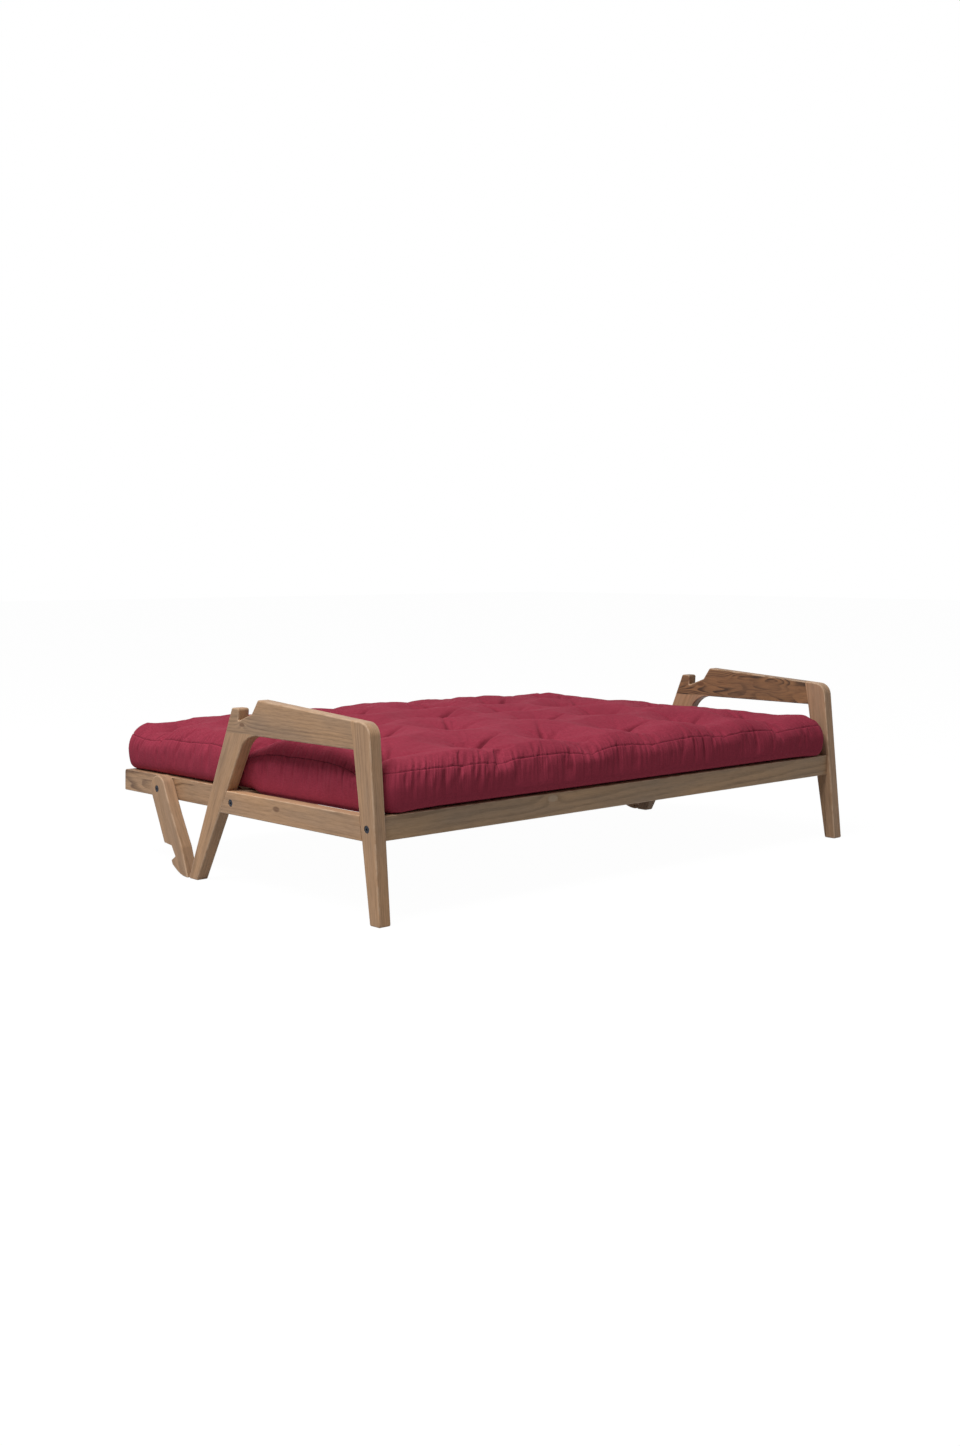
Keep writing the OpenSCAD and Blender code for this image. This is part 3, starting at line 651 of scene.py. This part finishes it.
def rumple(xs, ys, zs=0.0):
    """Smooth noise between -1 and 1 for arrays of places."""
    xs, ys, zs = np.broadcast_arrays(xs, ys, zs)
    flat = [noise.noise(Vector(p)) for p in zip(xs.ravel(), ys.ravel(), zs.ravel())]
    return np.array(flat).reshape(xs.shape) * 1.8


def edge_distance(x, y):
    """Distance inwards from the mattress's rounded outline."""
    dx = np.minimum(x, WIDE - x)
    dy = np.minimum(y, LONG - y)
    cx = np.maximum(CORNER_R - dx, 0)
    cy = np.maximum(CORNER_R - dy, 0)
    in_corner = (cx > 0) & (cy > 0)
    return np.where(in_corner, CORNER_R - np.hypot(cx, cy), np.minimum(dx, dy))


def tuft_pull(x, y):
    """How far the tufts draw the top down, and how deep their creases are."""
    total = np.zeros_like(x)
    crease = np.zeros_like(x)
    number = 0
    for row, v in enumerate(TUFT_ROWS):
        for u in TUFT_COLUMNS[row % 2]:
            number += 1
            dx = x - u
            dy = y - v
            far = np.hypot(dx * 0.8, dy)
            near_rear = min(1, (LONG - v) / 0.28)
            pull = (HOLLOW_DEEP * np.exp(-(far / HOLLOW_WIDE) ** 2)
                    + DIMPLE_DEEP * np.exp(-(far / DIMPLE_WIDE) ** 2))
            for k, (angle, reach, deep, spread) in enumerate(CREASES):
                swing = math.radians(angle + 14 * math.sin(number * 2.4 + k * 1.7))
                along = dx * math.cos(swing) + dy * math.sin(swing)
                across = -dx * math.sin(swing) + dy * math.cos(swing)
                across = across - 2.0 * along ** 2 * math.sin(number * 1.3 + k)
                uneven = 0.75 + 0.45 * math.sin(number * 3.7 + k * 2.9)
                valley = np.exp(-(across / (CREASE_WIDE + spread * np.abs(along))) ** 2)
                run = np.clip(along / 0.012, 0, 1) * np.exp(-(np.abs(along) / reach / near_rear) ** 2)
                fold = uneven * deep * valley * run
                pull = pull + fold
                crease = np.maximum(crease, fold)
            total = np.maximum(total, pull)
    return total, crease


def crown_height(x, y, fine):
    """Height of the top panel above the underside, and the depth of its creases."""
    e = np.maximum(edge_distance(x, y), 0)
    shoulder = 1 - np.exp(-e / SHOULDER_REACH)
    swell = 1 - (1 - np.minimum(e, SWELL_REACH) / SWELL_REACH) ** 2
    settled = SETTLED * np.exp(-((WIDE - x) / SETTLED_WIDE) ** 2 - ((y - SETTLED_Y) / SETTLED_LONG) ** 4)
    fuller = FULLER * np.exp(-(x / FULLER_REACH) ** 2 - ((LONG - y) / FULLER_REACH) ** 2)
    base = SEAM_H + (CROWN_H - SEAM_H) * (0.5 * shoulder + 0.5 * swell) - settled + fuller
    pull, crease = tuft_pull(x, y)
    if not fine:
        pull = pull - crease
    # The top's waves are calmer at the corners and along the edges
    corner = np.hypot(np.minimum(x, WIDE - x), np.minimum(y, LONG - y))
    calm = 1 - 0.8 * np.exp(-(corner / 0.16) ** 2)
    calm = calm * (1 - 0.5 * np.exp(-np.maximum(e - PANEL_INSET, 0) / 0.05))
    waves = WAVE_H * calm * rumple(x / 0.19, y / 0.15)
    if fine:
        waves = waves + RIPPLE_H * rumple(x / 0.06, y / 0.035, 4.0)
    inside = np.minimum(1, e / 0.06)
    return base + (waves - pull) * inside, crease * inside


def cover_mesh(name, fine_x, fine_y, top_step, under_step, fine):
    """Builds the closed cover: gathered rings round the sides, a top panel and an underside.

    fine_x and fine_y count the points along the long and the short sides. The panels' grids take
    every top_step-th and under_step-th of them. A coarse cover leaves out the gathers and creases.
    """
    inner_w = WIDE - 2 * PANEL_INSET
    inner_l = LONG - 2 * PANEL_INSET
    front = [(i / fine_x, 0.0) for i in range(fine_x)]
    right = [(1.0, j / fine_y) for j in range(fine_y)]
    back = [(1 - i / fine_x, 1.0) for i in range(fine_x)]
    left = [(0.0, 1 - j / fine_y) for j in range(fine_y)]
    loop = np.array(front + right + back + left)
    count = len(loop)
    inner = np.stack([PANEL_INSET + loop[:, 0] * inner_w, PANEL_INSET + loop[:, 1] * inner_l], 1)

    # Each inner point has an outer one: near the corners they share out the quarter circle
    outer = np.zeros_like(inner)
    outward = np.zeros_like(inner)
    for i, (x, y) in enumerate(inner):
        from_x = min(x, WIDE - x) - PANEL_INSET
        from_y = min(y, LONG - y) - PANEL_INSET
        sx = -1 if x < WIDE / 2 else 1
        sy = -1 if y < LONG / 2 else 1
        along, on_x = (from_x, True) if from_y < 1e-9 else (from_y, False)
        if along < CORNER_RUN:
            share = along / CORNER_RUN
            angle = math.radians(45 + (45 * share if on_x else -45 * share))
            direction = np.array([sx * math.cos(angle), sy * math.sin(angle)])
            centre = (CORNER_R if sx < 0 else WIDE - CORNER_R, CORNER_R if sy < 0 else LONG - CORNER_R)
            outer[i] = np.array(centre) + CORNER_R * direction
            outward[i] = direction
        elif on_x:
            span = WIDE / 2 - PANEL_INSET - CORNER_RUN
            reach = (along - CORNER_RUN) / span * (WIDE / 2 - CORNER_R)
            outer[i] = (WIDE / 2 + sx * (WIDE / 2 - CORNER_R - reach), 0 if sy < 0 else LONG)
            outward[i] = (0, sy)
        else:
            span = LONG / 2 - PANEL_INSET - CORNER_RUN
            reach = (along - CORNER_RUN) / span * (LONG / 2 - CORNER_R)
            outer[i] = (0 if sx < 0 else WIDE, LONG / 2 + sy * (LONG / 2 - CORNER_R - reach))
            outward[i] = (sx, 0)
    # Places on a ring, so that the folds of the gathers close on themselves
    step = np.linalg.norm(np.roll(outer, -1, 0) - outer, axis=1)
    run = np.concatenate([[0], np.cumsum(step)[:-1]])
    ring_r = (run[-1] + step[-1]) / (2 * math.pi)
    ring_x, ring_y = ring_r * np.cos(run / ring_r), ring_r * np.sin(run / ring_r)
    belly = BELLY_OUT * rumple(ring_x / 0.14, ring_y / 0.14, 7.0)
    seam_wave = SEAM_WAVE * rumple(ring_x / 0.17, ring_y / 0.17)
    top_at_rim = crown_height(inner[:, 0], inner[:, 1], fine)[0]
    row_y = MATTRESS_LOW.y + outer[:, 1]
    beside = np.abs(outward[:, 0]) > 0.7
    hang = np.clip((row_y - HANG_FROM) / 0.04, 0, 1) * np.clip((HANG_TO - row_y) / 0.04, 0, 1)
    hang = beside * hang
    gathered = 0.85 + 0.25 * rumple(ring_x / 0.30, ring_y / 0.30, 9.0)

    def gather(level):
        """Folds of the cloth at a height above the seam, negative below it."""
        if not fine:
            return np.zeros(count)
        # Narrow folds, wider ones, and a few deep ones that stand apart
        small = rumple(ring_x / 0.0062, ring_y / 0.0062, level / 0.10)
        wide = rumple(ring_x / 0.0115, ring_y / 0.0115, level / 0.16 + 5)
        rare = np.maximum(rumple(ring_x / 0.021, ring_y / 0.021, level / 0.12 + 11) - 0.45, 0)
        fold = 0.35 * small + 1.1 * wide - 1.2 * rare
        tight = 1 - 0.85 * math.exp(-abs(level) / 0.004)
        if level < 0:
            reach = 0.22 + 0.78 * math.exp(-(level / 0.046) ** 2)
        else:
            reach = math.exp(-(level / 0.042) ** 2)
        return GATHER_DEEP * fold * gathered * tight * reach

    flat = np.zeros(count)
    from_sides = WIDE / 2 - np.abs(outer[:, 0] - WIDE / 2)
    from_ends = LONG / 2 - np.abs(outer[:, 1] - LONG / 2)
    in_front = (outward[:, 1] < -0.7) * np.clip(from_sides / 0.12 - 0.4, 0, 1)
    off_corner = np.clip(np.maximum(from_sides, from_ends) / 0.05 - 0.8, 0, 1)
    lift_off = EDGE_LIFT * (1 - hang) * (0.4 + 0.6 * in_front) * off_corner
    along_back = np.clip((row_y - PIVOT_Y) / 0.06, 0, 1) * np.clip((BACK_SAG_TO - row_y) / 0.02, 0, 1)
    sag = HANG_DEEP * hang + EDGE_SAG * (beside * along_back)
    kept = (0.3 + 0.25 * hang)[:, None]
    rings = [np.column_stack([inner + (outer - inner) * kept, lift_off * 0.2 - sag])]
    pleats, seams, levels = [flat], [flat], [flat - SEAM_H]
    # From the underside up to the widest line, then round the roll, over the seam, to the top
    for t in (1.0, 0.93, 0.84, 0.72, 0.58, 0.42, 0.22) if fine else (0.9, 0.5):
        h = WIDEST_H * (1 - t)
        fold = gather(h - SEAM_H)
        inset = UNDER_TUCK * (1 - math.sqrt(1 - t ** 3.6)) * (1 - 0.75 * hang) - belly * (1 - t)
        place = outer + (inner - outer) * (inset / PANEL_INSET)[:, None] + outward * fold[:, None]
        rings.append(np.column_stack([place, h + (lift_off - 0.001 * hang) * t ** 2]))
        pleats.append(fold)
        seams.append(flat)
        levels.append(flat + h - SEAM_H)
    turns = (0, 6, 12, 18, 23, 28, 32, 34.4, 36, 37.6, 40, 44, 48, 53, 58, 64, 70)
    for turn in turns if fine else (5, 20, 36, 50, 64):
        angle = math.radians(turn)
        rise = math.sin(angle) / math.sin(math.radians(RIM_TURN))
        level = ROLL_REACH * math.radians(turn - SEAM_TURN) * 1.2
        fold = gather(level)
        on_seam = 1.0 if turn == SEAM_TURN and fine else 0.0
        lift = fold - SEAM_DRAW * on_seam
        window = math.sin(math.pi * turn / RIM_TURN) ** 2
        inset = ROLL_REACH * (1 - math.cos(angle)) - belly * math.cos(angle)
        place = outer + (inner - outer) * (inset / PANEL_INSET)[:, None]
        place = place + outward * (lift * math.cos(angle))[:, None]
        h = WIDEST_H + (top_at_rim - WIDEST_H) * rise + seam_wave * window + lift * math.sin(angle)
        rings.append(np.column_stack([place, h]))
        pleats.append(fold)
        seams.append(flat + on_seam)
        levels.append(flat + level)

    points = [np.concatenate(rings)]
    pleat = [np.concatenate(pleats)]
    seam = [np.concatenate(seams)]
    around = [np.column_stack([np.tile(ring_x, len(rings)), np.tile(ring_y, len(rings)),
                               np.concatenate(levels)])]
    faces = []
    for k in range(len(rings) - 1):
        for i in range(count):
            j = (i + 1) % count
            faces.append((k * count + i, k * count + j, (k + 1) * count + j, (k + 1) * count + i))

    def panel(step, heights, upward):
        """Adds a grid inside the rings, and closes it to the nearest ring."""
        nx, ny = fine_x // step, fine_y // step
        gx, gy = np.meshgrid(np.linspace(0, 1, nx + 1), np.linspace(0, 1, ny + 1), indexing="ij")
        px, py = PANEL_INSET + gx * inner_w, PANEL_INSET + gy * inner_l
        first = sum(len(p) for p in points)
        pz, crease = heights(px, py)
        points.append(np.column_stack([px.ravel(), py.ravel(), pz.ravel()]))
        # The creases' depth is kept for the painted shade of their valleys
        pleat.append(-CREASE_SHADE * crease.ravel())
        seam.append(np.zeros(px.size))
        around.append(np.column_stack([px.ravel(), py.ravel(), np.ones(px.size)]))

        def at(i, j):
            return first + i * (ny + 1) + j

        for i in range(nx):
            for j in range(ny):
                quad = (at(i, j), at(i + 1, j), at(i + 1, j + 1), at(i, j + 1))
                faces.append(quad if upward else quad[::-1])
        rim = [at(i, 0) for i in range(nx)] + [at(nx, j) for j in range(ny)]
        rim += [at(nx - i, ny) for i in range(nx)] + [at(0, ny - j) for j in range(ny)]
        ring = (len(rings) - 1) * count if upward else 0
        for n, start in enumerate(rim):
            end = rim[(n + 1) % len(rim)]
            near = [ring + (n * step + m) % count for m in range(step + 1)]
            half = step // 2
            fan = [(start, near[m], near[m + 1]) for m in range(half)]
            fan.append((start, near[half], end))
            fan += [(end, near[m], near[m + 1]) for m in range(half, step)]
            for a, b, c in fan:
                faces.append((a, b, c) if upward else (c, b, a))

    panel(top_step, lambda x, y: crown_height(x, y, fine), True)

    def arch(x, y):
        """The underside is drawn up a little over the pivot, where the mattress folds."""
        off_pivot = np.abs(MATTRESS_LOW.y + y - PIVOT_Y)
        inwards = edge_distance(x, y)
        lift = FOLD_LIFT * np.exp(-(off_pivot / FOLD_REACH) ** 4) * np.minimum(1, inwards / 0.1)
        lift = lift + EDGE_LIFT * 0.5 * np.exp(-(inwards / LIFT_REACH) ** 2)
        return lift, np.zeros_like(lift)

    panel(under_step, arch, False)
    cover = np.concatenate(points)
    cover += np.array([MATTRESS_LOW.x, MATTRESS_LOW.y, UNDER_Z])
    mesh = bpy.data.meshes.new(name)
    mesh.from_pydata(cover.tolist(), [], faces)
    for key, values in (("pleat", np.concatenate(pleat)), ("seam", np.concatenate(seam))):
        mesh.attributes.new(key, "FLOAT", "POINT").data.foreach_set("value", values.astype(np.float32))
    gathers = mesh.attributes.new("around", "FLOAT_VECTOR", "POINT")
    gathers.data.foreach_set("vector", np.concatenate(around).astype(np.float32).ravel())
    return mesh


cover = cover_mesh("mattress", fine_x=600, fine_y=416, top_step=2, under_step=8, fine=True)
mattress = bpy.data.objects.new("mattress", cover)
bpy.context.collection.objects.link(mattress)

# The filling is simulated on a coarse cover, held down at the tufts and along its underside
PRESSURE = 4.0
LOOSE_CLOTH = -0.03
LAST_FRAME = 20
TUFT_HOLD = 0.016
MOST_UP, MOST_OUT = 0.006, 0.002


def places(piece):
    """The points of a piece as rows of x, y and z."""
    found = np.zeros(len(piece.data.vertices) * 3)
    piece.data.vertices.foreach_get("co", found)
    return found.reshape(-1, 3)


coarse = cover_mesh("filling", fine_x=150, fine_y=104, top_step=1, under_step=2, fine=False)
pad = bpy.data.objects.new("filling", coarse)
bpy.context.collection.objects.link(pad)
hold(mattress)
follow = mattress.modifiers.new("follow", "SURFACE_DEFORM")
follow.target = pad
bpy.ops.object.surfacedeform_bind(modifier="follow")
hold(pad)
rest = places(pad)
inside = rest - np.array([MATTRESS_LOW.x, MATTRESS_LOW.y, UNDER_Z])
held = inside[:, 2] < WIDEST_H - 0.004
for row, v in enumerate(TUFT_ROWS):
    for u in TUFT_COLUMNS[row % 2]:
        held |= np.hypot(inside[:, 0] - u, inside[:, 1] - v) < TUFT_HOLD
group = pad.vertex_groups.new(name="held")
group.add([int(i) for i in np.nonzero(held)[0]], 1.0, "REPLACE")
cloth = pad.modifiers.new("filling", "CLOTH")
cloth.settings.vertex_group_mass = "held"
cloth.settings.use_pressure = True
cloth.settings.uniform_pressure_force = PRESSURE
cloth.settings.shrink_min = LOOSE_CLOTH
cloth.settings.effector_weights.gravity = 0
cloth.collision_settings.use_collision = False
for frame_number in range(1, LAST_FRAME + 1):
    bpy.context.scene.frame_set(frame_number)
bpy.ops.object.modifier_apply(modifier="filling")
moved = places(pad) - rest
moved[:, 2] = np.clip(moved[:, 2], -MOST_UP, MOST_UP)
moved[:, :2] = np.clip(moved[:, :2], -MOST_UP, MOST_UP)
target = rest + moved
low = np.array([MATTRESS_LOW.x, MATTRESS_LOW.y]) - MOST_OUT
high = np.array([MATTRESS_HIGH.x, MATTRESS_HIGH.y]) + MOST_OUT
low, high = np.minimum(low, rest[:, :2]), np.maximum(high, rest[:, :2])
target[:, :2] = np.clip(target[:, :2], low, high)
pad.data.vertices.foreach_set("co", target.ravel())
pad.data.update()
hold(mattress)
bpy.ops.object.modifier_apply(modifier="follow")
bpy.data.objects.remove(pad)
bpy.context.scene.frame_set(1)
hold(mattress)
bpy.ops.object.shade_smooth()

WINE_DEEP, WINE_BRIGHT = (0.315, 0.036, 0.064, 1), (0.365, 0.043, 0.076, 1)
WINE_THREAD = (0.25, 0.026, 0.048, 1)
WINE_SIDE_LIGHT = (0.45, 0.054, 0.095, 1)
WINE_PAINTED_SHADE = (0.12, 0.012, 0.022, 1)
WINE_SEAM_SHADE = (0.11, 0.012, 0.022, 1)
WEAVE = 9000.0

cotton, tree, shader = blank_material("wine red cotton")
where = add_node(tree, "TexCoord").outputs["Object"]
cloud = noise_of(tree, where, (5.0, 5.0, 9.0), 3.0, 0.55)
slub = noise_of(tree, where, (60.0, 900.0, 300.0), 2.0, 0.5)
slub_across = noise_of(tree, where, (900.0, 60.0, 300.0), 2.0, 0.5)
thread = sum_of(tree, "ADD", slub, slub_across)
split = add_node(tree, "SeparateXYZ", {0: where}).outputs
weave_x = sum_of(tree, "SINE", sum_of(tree, "MULTIPLY", split[0], WEAVE))
weave_y = sum_of(tree, "SINE", sum_of(tree, "MULTIPLY", split[1], WEAVE))
weave = sum_of(tree, "MULTIPLY", weave_x, weave_y)
red = blend_of(tree, ramp_of(tree, cloud, 0.3, 0.7), WINE_DEEP, WINE_BRIGHT)
red = blend_of(tree, ramp_of(tree, thread, 0.8, 1.25), red, WINE_THREAD)
# Painted light: the border strip round the sides is made lighter, as if more light fell on it
wrapped = add_node(tree, "Attribute", attribute_name="around").outputs["Vector"]
near_seam = add_node(tree, "SeparateXYZ", {0: wrapped}).outputs[2]
side_light = ramp_of(tree, near_seam, 0.035, -0.01)
red = blend_of(tree, sum_of(tree, "MULTIPLY", side_light, 0.42), red, WINE_SIDE_LIGHT)
# Painted shade: the valleys of the gathers and creases are darkened, as if in shadow
pleat_value = add_node(tree, "Attribute", attribute_name="pleat").outputs["Fac"]
valley = ramp_of(tree, pleat_value, -0.0003, -0.0034)
red = blend_of(tree, sum_of(tree, "MULTIPLY", valley, 0.65), red, WINE_PAINTED_SHADE)
# Fine gathers run up and down across the seam, and fade out above and below it; their hollows also get
# painted shade
fade = sum_of(tree, "MULTIPLY", ramp_of(tree, near_seam, -0.100, -0.015),
              ramp_of(tree, near_seam, 0.045, 0.010))
pucker = noise_of(tree, wrapped, (130, 130, 7), 1.0, 0.5)
shade = sum_of(tree, "MULTIPLY", ramp_of(tree, pucker, 0.47, 0.33), sum_of(tree, "MULTIPLY", fade, 0.18))
red = blend_of(tree, shade, red, WINE_PAINTED_SHADE)
pucker = sum_of(tree, "MULTIPLY", pucker, fade)
# Painted shade along the seam, darkening its groove
seam_groove = add_node(tree, "Attribute", attribute_name="seam").outputs["Fac"]
red = blend_of(tree, ramp_of(tree, seam_groove, 0.2, 1.0, 0.0, 0.8), red, WINE_SEAM_SHADE)
tree.links.new(red, shader.inputs["Base Color"])
height = sum_of(tree, "MULTIPLY_ADD", weave, 0.25, thread)
bump = add_node(tree, "Bump", {"Height": height, "Strength": 0.35, "Distance": 0.0004})
bump = add_node(tree, "Bump", {"Height": pucker, "Strength": 1.0, "Distance": 0.0038,
                               "Normal": bump.outputs[0]})
tree.links.new(bump.outputs[0], shader.inputs["Normal"])
shader.inputs["Roughness"].default_value = 0.86
shader.inputs["Specular IOR Level"].default_value = 0.12
shader.inputs["Sheen Weight"].default_value = 0.03
shader.inputs["Sheen Roughness"].default_value = 0.5
shader.inputs["Sheen Tint"].default_value = (0.9, 0.35, 0.45, 1)
mattress.data.materials.append(cotton)
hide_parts("mattress_seat", "mattress_fold", "mattress_back")
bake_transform(mattress)


# Floor and backdrop. A white studio floor that keeps only the faintest shadow, under a white
# surround.

bpy.ops.mesh.primitive_plane_add(size=60, location=(0, 0, 0))
floor = bpy.context.object
floor.name = "studio_floor"
white, tree, shader = blank_material("studio white")
shader.inputs["Base Color"].default_value = (0.40, 0.40, 0.40, 1)
shader.inputs["Roughness"].default_value = 0.9
shader.inputs["Specular IOR Level"].default_value = 0.0


def looked_at(tree):
    """1 where a thing is seen itself or in a mirror, 0 where it only lights its neighbours."""
    seen = add_node(tree, "LightPath").outputs
    direct = sum_of(tree, "MAXIMUM", seen["Is Camera Ray"], seen["Is Glossy Ray"])
    return sum_of(tree, "MAXIMUM", direct, seen["Is Transmission Ray"])


direct = looked_at(tree)
glow = add_node(tree, "Emission", {"Color": (1, 1, 1, 1), "Strength": 1.0}).outputs[0]
glow_share = sum_of(tree, "MULTIPLY", direct, 0.90)
mixed = add_node(tree, "MixShader", {0: glow_share, 1: shader.outputs[0], 2: glow})
boost_share = sum_of(tree, "MULTIPLY", direct, 0.08)
boost = add_node(tree, "Emission", {"Color": (1, 1, 1, 1), "Strength": boost_share})
total = add_node(tree, "AddShader", {0: mixed.outputs[0], 1: boost.outputs[0]})
tree.links.new(total.outputs[0], tree.nodes["Material Output"].inputs["Surface"])
floor.data.materials.append(white)

world = bpy.data.worlds.new("studio surround")
bpy.context.scene.world = world
world.use_nodes = True
tree = world.node_tree
strength = sum_of(tree, "MULTIPLY_ADD", looked_at(tree), 0.84, 0.16)
tree.nodes["Background"].inputs["Color"].default_value = (1, 1, 1, 1)
tree.links.new(strength, tree.nodes["Background"].inputs["Strength"])


# Studio lamp. One large square soft light hangs high on the left, and lights the armrests'
# outer faces and the top most, so that the front stays in half shade.

KEY_TARGET = Vector((0.0, 0.0, 0.3))
KEY_PLACE = KEY_TARGET + Vector((-3.8, -0.9, 6.8))
key = bpy.data.lights.new("key lamp", "AREA")
key.shape = "SQUARE"
key.size = 3.9
key.energy = 560
holder = bpy.data.objects.new("key lamp", key)
bpy.context.collection.objects.link(holder)
holder.location = KEY_PLACE
holder.rotation_euler = (KEY_TARGET - KEY_PLACE).to_track_quat("-Z", "Y").to_euler()


# Camera, where the photograph was taken from: low, ahead and to the left. The lens was fitted to
# the corners of both armrests, and is shifted so that upright lines stay upright.

lens = bpy.data.cameras.new("camera")
lens.sensor_width = 36.0
lens.lens = 40.46
lens.shift_y = -0.1139
camera = bpy.data.objects.new("camera", lens)
bpy.context.collection.objects.link(camera)
camera.location = (-3.6032, -3.8737, 0.9363)
camera.rotation_euler = (math.radians(90.042), 0.0, math.radians(-42.62))
bpy.context.scene.camera = camera
bpy.context.scene.view_settings.view_transform = "Standard"
